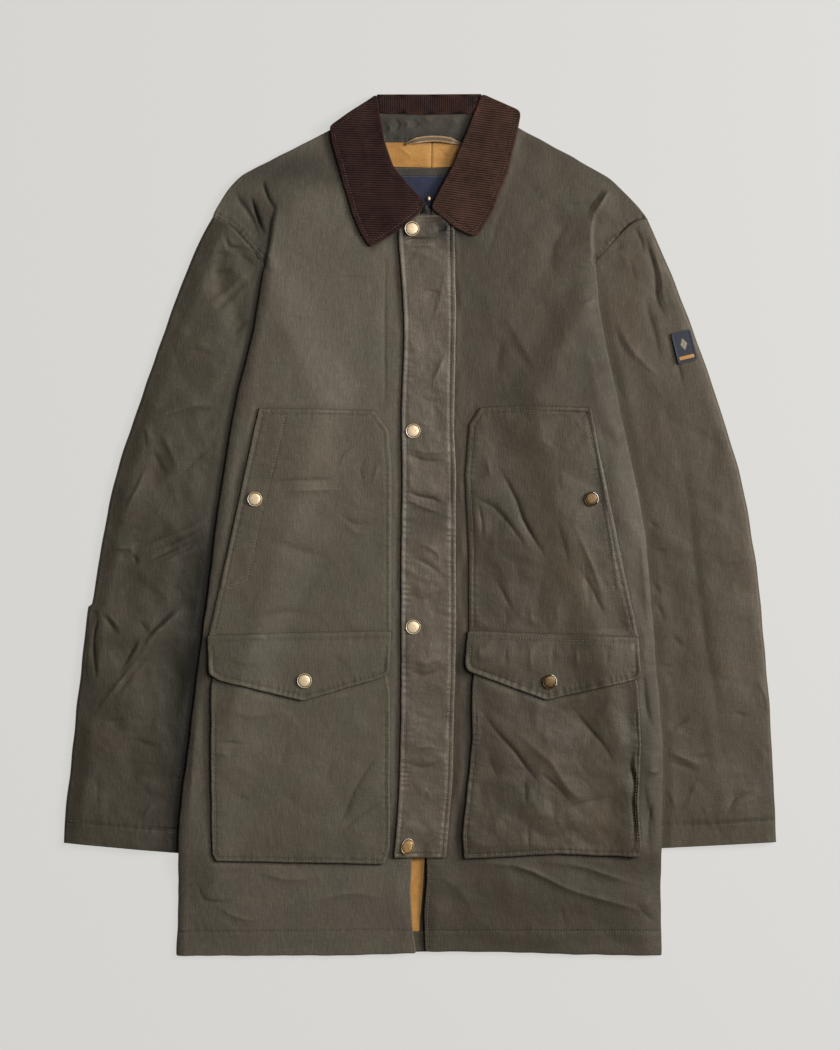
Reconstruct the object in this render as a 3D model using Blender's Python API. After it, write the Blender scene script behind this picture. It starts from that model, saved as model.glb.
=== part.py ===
# Waxed cotton jacket lying flat on its back, front up, closed.
#
# The body is laid up in layers on one shared plan of points. Each layer takes the triangles
# inside its own outline, and its height at a point is that of whatever lies below it there,
# moved up by a small clearance, so layers follow each other and never cross.
# The sleeves are flattened tubes made of rings, and the body's sides lie on their inner edges.
#
# All sizes are in millimetres. x runs towards the wearer's left, "up" runs from the hem to the
# collar, and z is the height above the surface that the jacket lies on. "Right" and "left" are
# the wearer's.

import math

import bmesh
import bpy
from mathutils import Vector
from mathutils.bvhtree import BVHTree
from mathutils.geometry import delaunay_2d_cdt

MM = 0.001
MIDDLE_UP = 440.6          # half way from hem to collar, which is the origin

PLAN_SPACING = 30.0        # between points inside the plan
PLAN_COLUMNS = 12          # columns of points on each side of the middle
PLAN_TOP = 900.0
PLAN_START = 6.0           # height of the lowest row of points
LINE_SPACING = 26.0        # between points along an outline
LEAF_SPACING = 16.0        # the same round the collar leaves
LINE_MARGIN = 14.4         # inner points keep this far from every outline
MERGE = 0.15               # points closer than this are one point
REST = 0.4                 # clearance between a piece and what it lies on
SEAM = 0.16                # each piece stops this far short of its seam line
CORNER_LIMIT = 1.6         # a corner moves at most this many times as far
FLAT_ANGLE = math.radians(0.02)  # faces this close to one plane are joined

BACK_WALL = 2.5
FRONT_WALL = 2.6
LINING_WALL = 1.4
COLLAR_WALL = 2.6
LEAF_WALL = 3.0
POCKET_WALL = 1.7
FLAP_WALL = 2.0
STORM_WALL = 2.6
LABEL_WALL = 0.8
ZIP_WALL = 1.6

PUFF = 2.9                 # air between front and back away from the edges
PUFF_REACH = 48.0
FOLD_FADE = 12.0           # folds die out this close to the body's edges
CARGO_DEPTH = 4.8          # how far a bellows pocket stands off the front
CARGO_EDGE = (0.5, 8.0)    # distance in from its edge over which it becomes hollow
HEM_HEIGHT = 24.0
HEM_STEP = 2.0             # height over which the turned hem thins out
HEM_EXTRA = 0.7            # a turned hem is this much thicker

SLEEVE_WALL = 2.4
SLEEVE_FLAT = 5.8          # height of a sleeve where the body lies on it
SLEEVE_FULL = 8.7          # height of a sleeve where it lies free
SLEEVE_RISE = (6.0, 52.0)  # from the body's edge, where the free height begins and is reached
TUCK_LIFT = 6.4            # the body is lifted this far over a sleeve
TUCK_REACH = 34.0
TUCK_MARGIN = 2.5          # the lifted area reaches this far past the sleeve's inner edge
TUCK_BELOW = 3.0           # and this far past its cuff
TUCK_OUT = 45.0            # and this far out of the body
ARMPIT_FADE = (574.0, 640.0)
RING_SPACING = 25.0

# Side folds of the body: up, right edge x, left edge x.
BODY_SIDES = (
    (0.6, -249.0, 247.0),
    (60.0, -247.0, 246.0),
    (135.0, -246.0, 247.0),
    (210.0, -237.0, 248.0),
    (300.0, -226.0, 241.0),
    (390.0, -214.0, 234.0),
    (450.0, -207.0, 227.0),
    (556.0, -190.0, 205.0),
    (630.0, -172.0, 189.0),
    (670.0, -165.0, 183.0),
)
ARMPIT_ROW = 7             # the row above at the height of the armpit

# Armholes, from the shoulder tip to where the seam runs under the body: x, up.
SEEN_ARMHOLE = {
    "right": ((-212.0, 755.0), (-192.0, 743.5), (-175.0, 725.0), (-159.0, 707.0)),
    "left": ((232.0, 754.0), (217.0, 749.0), (199.0, 732.0), (179.5, 710.0)),
}
# The rest of each armhole, under the body, down to the armpit: x, up.
HIDDEN_ARMHOLE = {
    "right": ((-159.0, 707.0), (-146.0, 668.0), (-126.0, 618.0), (-106.0, 570.0)),
    "left": ((179.5, 710.0), (166.0, 668.0), (144.0, 618.0), (122.0, 570.0)),
}
# Shoulders, from the tip to the neck point: x, up.
SHOULDER = {
    "right": ((-212.0, 755.0), (-208.0, 764.0), (-198.0, 780.0), (-186.0, 794.0),
              (-169.0, 805.0), (-121.0, 829.0), (-60.0, 861.0)),
    "left": ((232.0, 754.0), (224.0, 764.0), (209.0, 780.0), (194.0, 794.0),
             (176.0, 805.0), (133.0, 829.0), (75.0, 859.0)),
}
# Front neck edges, from the neck point to the centre: x, up.
NECK_EDGE = {
    "right": ((-60.0, 861.0), (-50.0, 835.0), (-42.0, 806.0), (-26.0, 779.0), (0.0, 764.0)),
    "left": ((75.0, 859.0), (64.0, 835.0), (51.0, 806.0), (35.0, 779.0), (11.0, 764.0)),
}
# Centre edges of the fronts, from the neck to the hem: x, up.
CENTRE_EDGE = {
    "right": ((0.0, 764.0), (0.0, 140.0), (-8.0, 100.0), (-10.0, 72.0), (-9.0, 45.0),
              (-7.0, 26.0), (-4.0, 3.5)),
    "left": ((11.0, 764.0), (11.0, 140.0), (6.6, 100.0), (6.8, 75.0), (5.0, 57.0),
             (3.8, 38.0), (5.3, 5.0)),
}
# Hems, from the centre to the side: x, up.
HEM_EDGE = {
    "right": ((-4.0, 3.5), (-70.0, 1.0), (-249.0, 0.6)),
    "left": ((5.3, 5.0), (82.0, 4.5), (159.0, 2.0), (247.0, 0.6)),
}
# Middle points of the back's hem: x and up.
BACK_HEM = ((30.0, 3.8), (-30.0, 2.8))
BACK_NECK = ((-60.0, 861.0), (-52.0, 844.0), (-40.0, 835.0), (-20.0, 833.0), (34.0, 833.0),
             (52.0, 835.0), (64.0, 844.0), (75.0, 859.0))

# Sleeves, from cuff to armhole: outer x, outer up, inner x, inner up, share of the armhole's bow.
SLEEVE_ROWS = {
    "right": (
        (-364.0, 117.0, -220.0, 104.0, 0.0),
        (-362.0, 150.0, -217.0, 137.0, 0.0),
        (-354.0, 222.0, -206.0, 205.0, 0.0),
        (-347.5, 283.0, -191.0, 262.0, 0.0),
        (-339.5, 352.0, -172.0, 325.0, 0.0),
        (-328.0, 405.0, -155.0, 380.0, 0.0),
        (-312.0, 487.0, -132.0, 450.0, 0.0),
        (-290.0, 555.0, -116.0, 506.0, 0.05),
        (-264.0, 630.0, -109.0, 541.0, 0.35),
        (-242.0, 691.0, -107.0, 556.0, 0.7),
        (-225.0, 731.0, -106.0, 565.0, 0.9),
        (-212.0, 755.0, -106.0, 570.0, 1.0),
    ),
    "left": (
        (364.0, 117.0, 219.5, 109.0, 0.0),
        (362.5, 150.0, 217.0, 140.0, 0.0),
        (359.0, 222.0, 208.0, 205.0, 0.0),
        (355.0, 283.0, 196.0, 262.0, 0.0),
        (348.5, 352.0, 182.0, 325.0, 0.0),
        (343.0, 405.0, 168.0, 380.0, 0.0),
        (328.0, 487.0, 147.0, 450.0, 0.0),
        (308.0, 555.0, 132.0, 506.0, 0.05),
        (282.5, 630.0, 125.0, 541.0, 0.35),
        (259.0, 691.0, 123.0, 556.0, 0.7),
        (242.0, 731.0, 122.0, 565.0, 0.9),
        (232.0, 754.0, 122.0, 570.0, 1.0),
    ),
}
# Where a ring's outline turns round its edge: distance in and height, as shares of its height.
RING_EDGE = ((0.0, 0.5), (0.12, 0.83), (0.5, 1.0))

# Largest folds: x and up of each end, half width, height.
SLEEVE_FOLDS = {
    "right": (
        (-242.0, 358.0, -289.0, 296.0, 12.0, 1.5),
        (-284.0, 330.0, -307.0, 288.0, 10.0, 1.2),
        (-325.0, 349.0, -304.0, 327.0, 10.0, 1.2),
        (-338.0, 356.0, -330.0, 286.0, 9.0, 1.4),
        (-278.0, 535.0, -309.0, 421.0, 12.0, 1.2),
        (-288.0, 401.0, -216.0, 449.0, 12.0, 1.2),
    ),
    "left": (
        (246.0, 231.0, 272.0, 241.0, 10.0, 1.4),
        (251.0, 207.0, 288.0, 200.0, 10.0, 1.3),
        (311.0, 145.0, 340.0, 168.0, 10.0, 1.3),
        (236.0, 371.0, 272.0, 311.0, 12.0, 1.2),
        (300.0, 300.0, 335.0, 270.0, 12.0, 1.2),
        (205.0, 570.0, 240.0, 480.0, 12.0, 1.2),
    ),
}
BODY_FOLDS = (
    (85.0, 494.0, 118.0, 421.0, 14.0, 1.1),
    (68.0, 256.0, 128.0, 165.0, 16.0, 1.4),
    (47.0, 91.0, 169.0, 61.0, 14.0, 1.3),
    (169.0, 61.0, 240.0, 37.0, 14.0, 1.3),
    (-234.0, 80.0, -163.0, 38.0, 16.0, 1.2),
    (-150.0, 757.0, -165.0, 700.0, 10.0, 1.2),
    (178.0, 757.0, 180.0, 700.0, 10.0, 1.2),
)

# Collar leaves, top to tip: up, outer x, inner x.
LEAF_ROWS = {
    "right": (
        (880.4, -45.0, -44.9),
        (876.8, -49.5, -43.2),
        (861.0, -74.0, -41.2),
        (847.6, -92.4, -38.8),
        (833.0, -90.8, -36.4),
        (807.0, -83.6, -27.5),
        (786.0, -77.8, -10.7),
        (769.0, -72.5, 5.9),
        (759.0, -69.8, 0.4),
        (740.0, -61.7, -22.7),
        (726.5, -53.6, -44.9),
        (723.8, -51.2, -50.8),
    ),
    "left": (
        (880.9, 64.0, 63.9),
        (876.8, 73.0, 60.6),
        (864.0, 101.6, 56.8),
        (860.4, 102.9, 54.6),
        (844.0, 100.0, 48.7),
        (830.0, 96.7, 42.8),
        (807.0, 91.2, 33.3),
        (799.0, 89.3, 28.9),
        (768.9, 77.2, 12.8),
        (763.0, 75.0, 11.2),
        (758.0, 72.8, 18.0),
        (744.0, 64.5, 34.7),
        (736.0, 59.2, 51.0),
        (734.7, 56.0, 53.8),
    ),
}
CREST_TOP = (7.0, 880.4)      # middle of the strip's upper edge
CREST_BOTTOM = (7.0, 859.5)   # and of its lower edge
FALL_BACK_EDGE = ((97.0, 836.0), (86.0, 821.0), (7.0, 816.0), (-77.0, 821.0), (-88.0, 836.0))
STAND_OUTER = ((-7.0, 771.0), (-22.5, 781.0), (-39.0, 809.0), (-46.5, 835.0), (-52.0, 855.0),
               (-34.0, 868.0), (7.0, 868.0), (49.0, 868.0), (67.0, 855.0), (60.5, 835.0),
               (48.5, 809.0), (31.5, 781.0), (16.0, 771.0))
STAND_INNER = ((14.5, 774.0), (31.0, 801.0), (46.0, 831.3), (-39.3, 831.3), (-26.5, 801.0),
               (-13.5, 787.0), (-4.0, 774.0))
STAND_LIFT = 2.8
STAND_RISE = (812.0, 832.0)  # heights between which the stand's lift dies out
LEAF_CLEAR = 0.8           # clearance under the leaves

# Storm flap: up, free edge x, seam x.
STORM_ROWS = (
    (757.0, -23.0, 35.0),
    (717.0, -21.0, 35.7),
    (645.0, -16.5, 36.7),
    (554.0, -19.0, 35.0),
    (488.0, -18.4, 36.7),
    (405.0, -19.4, 36.7),
    (323.0, -19.4, 36.7),
    (245.0, -19.6, 35.0),
    (178.0, -21.4, 33.0),
    (139.0, -23.5, 30.0),
    (101.0, -27.0, 26.5),
)

# Upper patch pockets: each corner's x, up, from the outer top corner round by the centre.
HAND_POCKETS = {
    "right": ((-164.0, 560.0), (-47.0, 558.0), (-32.0, 537.5), (-29.0, 500.0), (-29.0, 324.0),
              (-216.5, 324.0)),
    "left": ((174.0, 560.5), (98.0, 563.0), (60.5, 560.5), (49.7, 543.0), (45.6, 491.0),
             (49.5, 414.0), (49.5, 324.0), (223.5, 324.0), (205.5, 406.0)),
}
# Lower bellows pockets, the same way round.
CARGO_POCKETS = {
    "right": ((-206.0, 312.0), (-38.0, 312.0), (-30.6, 271.0), (-30.6, 111.0), (-36.0, 94.5),
              (-208.0, 98.0), (-212.0, 106.0), (-213.2, 192.0), (-213.0, 276.0)),
    "left": ((216.0, 312.0), (56.0, 312.0), (52.5, 270.0), (53.0, 222.0), (50.0, 192.0),
             (43.0, 125.0), (44.5, 100.0), (140.0, 105.0), (223.0, 102.0), (226.0, 112.0),
             (223.0, 152.0), (225.5, 218.0), (222.5, 276.0)),
}
# Pointed flaps, the same way round; the lowest corner is the point.
POCKET_FLAPS = {
    "right": ((-217.0, 328.5), (-29.0, 332.5), (-31.8, 289.0), (-40.0, 284.7), (-119.3, 261.5),
              (-204.0, 282.0), (-215.0, 289.0)),
    "left": ((223.0, 326.5), (48.0, 333.0), (45.6, 298.0), (48.5, 291.7), (128.9, 262.0),
             (222.0, 283.5), (224.8, 289.0)),
}

NECK_LINING = (-47.0, 806.8, 53.0, 831.3)       # x and up of two corners
NECK_FACING = (-40.0, 742.0, 50.0, 806.8)
NECK_LABEL = (-20.0, 765.0, 42.0, 797.6)
HEM_LINING = (-16.0, 25.5, 14.0, 132.0)
HEM_FACING = (-14.0, 5.5, 12.5, 25.5)
ZIP_SPAN = (0.0, 142.0, 11.0, 764.0)
SLIDER_SPAN = (1.5, 757.5, 9.5, 768.0)
SLIDER_WALL = 2.6

LOOP_ARC = ((-13.3, 827.0), (11.2, 837.8), (35.7, 828.0))
LOOP_WIDTH = 4.6
LOOP_WALL = 1.4
LOOP_STEPS = 14
LOOP_REACH = 2.6           # it clears whatever lies this close to its middle line

SNAP_RADIUS = 7.9
# Turned outline of a snap cap: radius and height.
SNAP_PROFILE = ((7.6, 0.0), (7.9, 1.2), (7.0, 2.1), (5.0, 2.4))
SNAP_TOP = 3.1
SNAP_SIDES = 16
SNAPS = {
    "snap_storm_1": (-8.2, 743.5),
    "snap_storm_2": (-7.1, 536.5),
    "snap_storm_3": (-7.1, 336.6),
    "snap_storm_4": (-13.3, 112.5),
    "snap_hand_right": (-168.3, 467.0),
    "snap_hand_left": (174.4, 467.0),
    "snap_flap_right": (-117.8, 282.0),
    "snap_flap_left": (132.0, 281.0),
}

PATCH_CENTRE = (269.5, 622.5)
PATCH_SIZE = (21.0, 33.0)
PATCH_TILT = math.radians(14.0)
PATCH_WALL = 1.3
PATCH_CELLS = (4, 6)
PATCH_CORNER = (0.86, 0.92)  # corners drawn in, across and along
PATCH_REACH = 3.0          # it clears whatever lies this close to each of its points

# Colours as screen values, then roughness and metallic.
FINISHES = {
    "waxed": ((88, 81, 69), 0.52, 0.0),
    "waxed_dark": ((76, 69, 59), 0.5, 0.0),
    "corduroy": ((50, 34, 30), 0.85, 0.0),
    "lining": ((185, 136, 77), 0.6, 0.0),
    "label": ((38, 43, 58), 0.7, 0.0),
    "tape": ((120, 98, 66), 0.7, 0.0),
    "zip": ((46, 40, 32), 0.5, 0.2),
    "brass": ((165, 138, 98), 0.35, 1.0),
    "patch": ((40, 45, 60), 0.8, 0.0),
}


def smoothstep(low, high, value):
    share = min(1.0, max(0.0, (value - low) / (high - low)))
    return share * share * (3.0 - 2.0 * share)


def curve_value(before, start, end, after, t):
    """A smooth curve from start to end, for one number."""
    slope_part = (end - before) * t
    bend_part = (2.0 * before - 5.0 * start + 4.0 * end - after) * t * t
    twist_part = (3.0 * start - 3.0 * end + after - before) * t * t * t
    return 0.5 * (2.0 * start + slope_part + bend_part + twist_part)


def smooth_line(rows, spacing=LINE_SPACING):
    """Rows joined by a smooth curve; every row stays a point of it."""
    points = []
    last = len(rows) - 1
    for index in range(last):
        before = rows[max(index - 1, 0)]
        start = rows[index]
        end = rows[index + 1]
        after = rows[min(index + 2, last)]
        parts = max(1, round(math.dist(start[:2], end[:2]) / spacing))
        for part in range(parts):
            t = part / parts
            columns = zip(before, start, end, after)
            points.append(tuple(curve_value(*column, t) for column in columns))
    points.append(tuple(rows[last]))
    return points


def straight_line(rows, spacing=LINE_SPACING):
    """Rows joined by straight runs with evenly spaced points."""
    points = []
    for start, end in zip(rows, rows[1:]):
        parts = max(1, round(math.dist(start, end) / spacing))
        for part in range(parts):
            t = part / parts
            points.append((start[0] + (end[0] - start[0]) * t, start[1] + (end[1] - start[1]) * t))
    points.append(tuple(rows[-1]))
    return points


def loop_of(*lines):
    """Lines joined end to end into one closed outline."""
    outline = []
    for line in lines:
        for point in line:
            if not outline or math.dist(outline[-1], point) > 0.01:
                outline.append(point)
    if math.dist(outline[0], outline[-1]) <= 0.01:
        outline.pop()
    return outline


def closed_straight(corners):
    return loop_of(straight_line(list(corners) + [corners[0]]))


def rectangle(span):
    left, bottom, right, top = span
    return closed_straight(((left, bottom), (right, bottom), (right, top), (left, top)))


def inside(point, outline):
    """Whether a point lies inside a closed outline."""
    x, up = point
    found = False
    previous = outline[-1]
    for corner in outline:
        if (corner[1] > up) != (previous[1] > up):
            share = (up - corner[1]) / (previous[1] - corner[1])
            if x < corner[0] + share * (previous[0] - corner[0]):
                found = not found
        previous = corner
    return found


def line_distance(point, line):
    """Distance from a point to an open line of points."""
    nearest = math.inf
    px, py = point
    for (ax, ay), (bx, by) in zip(line, line[1:]):
        dx, dy = bx - ax, by - ay
        length = dx * dx + dy * dy
        t = 0.0
        if length > 0.0:
            t = min(1.0, max(0.0, ((px - ax) * dx + (py - ay) * dy) / length))
        nearest = min(nearest, math.hypot(px - ax - dx * t, py - ay - dy * t))
    return nearest


def fold_height(x, up, folds):
    """Height that soft ridges add at a point; each dies out towards its ends."""
    height = 0.0
    for x1, up1, x2, up2, width, rise in folds:
        run = math.hypot(x2 - x1, up2 - up1)
        along = ((x - x1) * (x2 - x1) + (up - up1) * (up2 - up1)) / run
        aside = ((x - x1) * (up2 - up1) - (up - up1) * (x2 - x1)) / run
        ends = smoothstep(-width, width, along) * smoothstep(-width, width, run - along)
        height += rise * ends * (1.0 - min(1.0, abs(aside) / (2.0 * width)) ** 2) ** 2
    return height


# Outlines ------------------------------------------------------------------------------

SIDES = ("right", "left")


def side_fold(side):
    """The body's side, from the hem up to the seen end of the armhole seam."""
    column = 1 if side == "right" else 2
    rows = [(row[column], row[0]) for row in BODY_SIDES]
    rows.append(SEEN_ARMHOLE[side][-1])
    return smooth_line(rows)


def armhole_line(side):
    """The whole armhole seam, shoulder tip to armpit."""
    seen = smooth_line(SEEN_ARMHOLE[side])
    return seen + smooth_line(HIDDEN_ARMHOLE[side])[1:]


def front_outline(side):
    fold = side_fold(side)
    seen_armhole = smooth_line(SEEN_ARMHOLE[side])
    shoulder = smooth_line(SHOULDER[side])
    neck = smooth_line(NECK_EDGE[side])
    centre = straight_line(CENTRE_EDGE[side])
    hem = straight_line(HEM_EDGE[side])
    return loop_of(fold, seen_armhole[::-1], shoulder, neck, centre, hem)


def back_side(side):
    """The back's edge from the hem, over the sleeve to the armpit, then up to the neck point."""
    fold = side_fold(side)
    column = 1 if side == "right" else 2
    armpit_height = BODY_SIDES[ARMPIT_ROW][0]
    low_fold = [point for point in fold if point[1] <= armpit_height + 0.01]
    crossing = (BODY_SIDES[ARMPIT_ROW][column], armpit_height)
    armhole = armhole_line(side)
    across = straight_line((crossing, armhole[-1]))
    return loop_of(low_fold, across, armhole[::-1], smooth_line(SHOULDER[side]))


def back_outline():
    right = back_side("right")
    left = back_side("left")
    hem = straight_line((left[0], *BACK_HEM, right[0]))
    return loop_of(right, smooth_line(BACK_NECK), left[::-1], hem)


def tuck_line(side):
    """Edge of the part of a sleeve that lies under the body, with a small margin."""
    towards_centre = 1.0 if side == "right" else -1.0
    inner = [(row[2] + TUCK_MARGIN * towards_centre, row[3]) for row in SLEEVE_ROWS[side][::-1]]
    cuff_up = inner[-1][1]
    inner[-1] = (inner[-1][0], cuff_up - TUCK_BELOW)
    outside = (inner[-1][0] - TUCK_OUT * towards_centre, cuff_up)
    hidden = smooth_line(HIDDEN_ARMHOLE[side])
    return hidden + smooth_line(inner) + straight_line((inner[-1], outside))[1:]


def tuck_area(side):
    """The lifted area: from that line outwards past the body."""
    line = tuck_line(side)
    beyond = line[-1][0] - TUCK_OUT if side == "right" else line[-1][0] + TUCK_OUT
    return line + [(beyond, line[-1][1]), (beyond, line[0][1])]


def leaf_outline(side):
    rows = LEAF_ROWS[side]
    outer = [(row[1], row[0]) for row in rows]
    inner = [(row[2], row[0]) for row in rows]
    return loop_of(straight_line(outer, LEAF_SPACING),
                   straight_line(inner[::-1], LEAF_SPACING))


def fall_back_outline():
    right = [(row[1], row[0]) for row in LEAF_ROWS["right"][:4]]
    left = [(row[1], row[0]) for row in LEAF_ROWS["left"][:5]]
    corners = right[::-1] + [CREST_TOP] + left + list(FALL_BACK_EDGE)
    return closed_straight(corners)


def crest_outline():
    """The strip between the two leaves along the top of the neck."""
    right = [(row[2], row[0]) for row in LEAF_ROWS["right"] if row[0] > CREST_BOTTOM[1]]
    left = [(row[2], row[0]) for row in LEAF_ROWS["left"] if row[0] > CREST_BOTTOM[1]]
    return closed_straight(right[::-1] + [CREST_TOP] + left + [CREST_BOTTOM])


def storm_outline():
    free = [(row[1], row[0]) for row in STORM_ROWS]
    seam = [(row[2], row[0]) for row in STORM_ROWS]
    return loop_of(smooth_line(free), straight_line((free[-1], seam[-1])),
                   smooth_line(seam[::-1]), straight_line((seam[0], free[0])))


def make_outlines():
    outlines = {
        "collar_fall_back": fall_back_outline(),
        "back": back_outline(),
        "neck_lining": rectangle(NECK_LINING),
        "neck_facing": rectangle(NECK_FACING),
        "neck_label": rectangle(NECK_LABEL),
        "hem_lining": rectangle(HEM_LINING),
        "hem_facing": rectangle(HEM_FACING),
        "collar_stand": closed_straight(STAND_OUTER + STAND_INNER),
        "zip_chain": rectangle(ZIP_SPAN),
        "zip_slider": rectangle(SLIDER_SPAN),
        "storm_flap": storm_outline(),
        "collar_crest": crest_outline(),
    }
    for side in SIDES:
        outlines["front_" + side] = front_outline(side)
        outlines["hand_pocket_" + side] = closed_straight(HAND_POCKETS[side])
        outlines["cargo_pocket_" + side] = closed_straight(CARGO_POCKETS[side])
        outlines["pocket_flap_" + side] = closed_straight(POCKET_FLAPS[side])
        outlines["collar_leaf_" + side] = leaf_outline(side)
    return outlines


# Shared plan ---------------------------------------------------------------------------

def make_plan(outlines, lines):
    """One set of points and triangles that has every outline and line as edges."""
    points = []
    edges = []
    runs = [outline + [outline[0]] for outline in outlines.values()] + lines
    for run in runs:
        first = len(points)
        points.extend(run)
        edges.extend((first + step, first + step + 1) for step in range(len(run) - 1))
    row_height = PLAN_SPACING * math.sqrt(0.75)
    whole = [outlines["back"], outlines["front_right"], outlines["front_left"],
             outlines["collar_fall_back"]]
    for row in range(int(PLAN_TOP / row_height)):
        for column in range(-PLAN_COLUMNS, PLAN_COLUMNS + 1):
            x = (column + 0.5 * (row % 2)) * PLAN_SPACING
            point = (x, row * row_height + PLAN_START)
            if not any(inside(point, outline) for outline in whole):
                continue
            if min(line_distance(point, run) for run in runs) > LINE_MARGIN:
                points.append(point)
    flat = [Vector(point) for point in points]
    result = delaunay_2d_cdt(flat, edges, [], 0, MERGE)
    plan_points = [(point.x, point.y) for point in result[0]]
    triangles = [tuple(face) for face in result[2]]
    return plan_points, triangles


class Stack:
    """Layers of cloth on the shared plan, lowest first."""

    def __init__(self, outlines, lines):
        self.outlines = outlines
        self.points, self.triangles = make_plan(outlines, lines)
        self.tops = {}
        self.centres = []
        for a, b, c in self.triangles:
            pa, pb, pc = self.points[a], self.points[b], self.points[c]
            self.centres.append(((pa[0] + pb[0] + pc[0]) / 3.0, (pa[1] + pb[1] + pc[1]) / 3.0))

    def lay(self, name, wall, material, lift=None, beside=(), base=None, clear=REST):
        """Lay one piece on everything under it, apart from the pieces it lies beside."""
        outline = self.outlines[name]
        chosen = [triangle for triangle, centre in zip(self.triangles, self.centres)
                  if inside(centre, outline)]
        used = sorted({point for triangle in chosen for point in triangle})
        below = [tops for layer, tops in self.tops.items() if layer not in beside]
        low = {}
        high = {}
        for point in used:
            ground = -clear if base is None else base(*self.points[point])
            ground = max([ground] + [tops[point] for tops in below if point in tops])
            extra = lift(*self.points[point]) if lift else 0.0
            thick = wall(*self.points[point]) if callable(wall) else wall
            low[point] = ground + clear + extra
            high[point] = low[point] + thick
        self.tops[name] = high
        self.build(name, chosen, used, low, high, material)

    def build(self, name, chosen, used, low, high, material):
        count = len(used)
        place = {point: index for index, point in enumerate(used)}
        rim = rim_edges(chosen)
        plan = {point: self.points[point] for point in used}
        plan.update(pulled_in(rim, self.points))
        vertices = [(*plan[point], low[point]) for point in used]
        vertices += [(*plan[point], high[point]) for point in used]
        faces = []
        for triangle in chosen:
            bottom = [place[point] for point in triangle]
            faces.append(tuple(bottom[::-1]))
            faces.append(tuple(index + count for index in bottom))
        for start, end in rim:
            a, b = place[start], place[end]
            faces.append((a, b, b + count, a + count))
        add_piece(name, vertices, faces, material)

    def height_at(self, x, up):
        """Height of the uppermost layer at a point."""
        best = 0.0
        for a, b, c in self.triangles:
            weights = corner_weights((x, up), self.points[a], self.points[b], self.points[c])
            if min(weights) < -1e-6:
                continue
            for tops in self.tops.values():
                if a in tops and b in tops and c in tops:
                    level = weights[0] * tops[a] + weights[1] * tops[b] + weights[2] * tops[c]
                    best = max(best, level)
        return best


def corner_weights(point, a, b, c):
    area = (b[0] - a[0]) * (c[1] - a[1]) - (c[0] - a[0]) * (b[1] - a[1])
    if abs(area) < 1e-9:
        return (-1.0, -1.0, -1.0)
    second = ((point[0] - a[0]) * (c[1] - a[1]) - (c[0] - a[0]) * (point[1] - a[1])) / area
    third = ((b[0] - a[0]) * (point[1] - a[1]) - (point[0] - a[0]) * (b[1] - a[1])) / area
    return (1.0 - second - third, second, third)


def rim_edges(triangles):
    """Edges that only one triangle has, in that triangle's direction."""
    seen = set()
    for triangle in triangles:
        for corner in range(3):
            seen.add((triangle[corner], triangle[(corner + 1) % 3]))
    return [edge for edge in sorted(seen) if (edge[1], edge[0]) not in seen]


def pulled_in(rim, points):
    """Rim points moved a seam's clearance towards the inside of the piece."""
    normals = {}
    for start, end in rim:
        along = Vector(points[end]) - Vector(points[start])
        inward = Vector((-along.y, along.x)).normalized()
        for point in (start, end):
            normals.setdefault(point, []).append(inward)
    moved = {}
    for point, inward in normals.items():
        total = sum(inward, Vector((0.0, 0.0)))
        size = total.length
        if size > SEAM:
            share = SEAM * len(inward) / (size * size)
            total *= min(share, CORNER_LIMIT * SEAM / size)
        moved[point] = (points[point][0] + total.x, points[point][1] + total.y)
    return moved


# Building pieces -----------------------------------------------------------------------

def linear_colour(screen):
    values = []
    for channel in screen:
        share = channel / 255.0
        values.append(share / 12.92 if share <= 0.04045 else ((share + 0.055) / 1.055) ** 2.4)
    return (*values, 1.0)


def make_material(name, finish):
    screen, roughness, metallic = FINISHES[finish]
    material = bpy.data.materials.new(name)
    material.use_nodes = True
    shader = material.node_tree.nodes["Principled BSDF"]
    shader.inputs["Base Color"].default_value = linear_colour(screen)
    shader.inputs["Roughness"].default_value = roughness
    shader.inputs["Metallic"].default_value = metallic
    material.diffuse_color = linear_colour(screen)
    return material


def add_piece(name, vertices, faces, finish):
    """A closed solid from points in millimetres."""
    mesh = bpy.data.meshes.new(name)
    scaled = [(x * MM, (up - MIDDLE_UP) * MM, z * MM) for x, up, z in vertices]
    mesh.from_pydata(scaled, [], faces)
    shape = bmesh.new()
    shape.from_mesh(mesh)
    bmesh.ops.dissolve_limit(shape, angle_limit=FLAT_ANGLE, use_dissolve_boundaries=False,
                             verts=shape.verts, edges=shape.edges, delimit=set())
    bmesh.ops.triangulate(shape, faces=shape.faces, quad_method="SHORT_EDGE",
                          ngon_method="BEAUTY")
    bmesh.ops.recalc_face_normals(shape, faces=shape.faces)
    if shape.calc_volume(signed=True) < 0.0:
        bmesh.ops.reverse_faces(shape, faces=shape.faces)
    shape.to_mesh(mesh)
    shape.free()
    mesh.materials.append(make_material(name, finish))
    piece = bpy.data.objects.new(name, mesh)
    bpy.context.scene.collection.objects.link(piece)
    return piece


# Body ----------------------------------------------------------------------------------

def tuck_height(x, up):
    """How far the body is lifted over the sleeves' inner edges."""
    side = "right" if x < 0.0 else "left"
    area = TUCK_AREAS[side]
    line = TUCK_LINES[side]
    distance = line_distance((x, up), line)
    if inside((x, up), area) or distance < 0.05:
        return TUCK_LIFT
    return TUCK_LIFT * (1.0 - smoothstep(0.0, TUCK_REACH, distance))


def back_base(x, up):
    """The back is beside the sleeve above the armpit, and on it below."""
    return tuck_height(x, up) * (1.0 - smoothstep(*ARMPIT_FADE, up)) - REST


def front_base(x, up):
    return tuck_height(x, up) + BACK_WALL


def front_lift(x, up):
    distance = min(line_distance((x, up), line) for line in BODY_EDGES)
    folds = fold_height(x, up, BODY_FOLDS) * smoothstep(0.0, FOLD_FADE, distance)
    return PUFF * smoothstep(0.0, PUFF_REACH, distance) + folds


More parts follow.
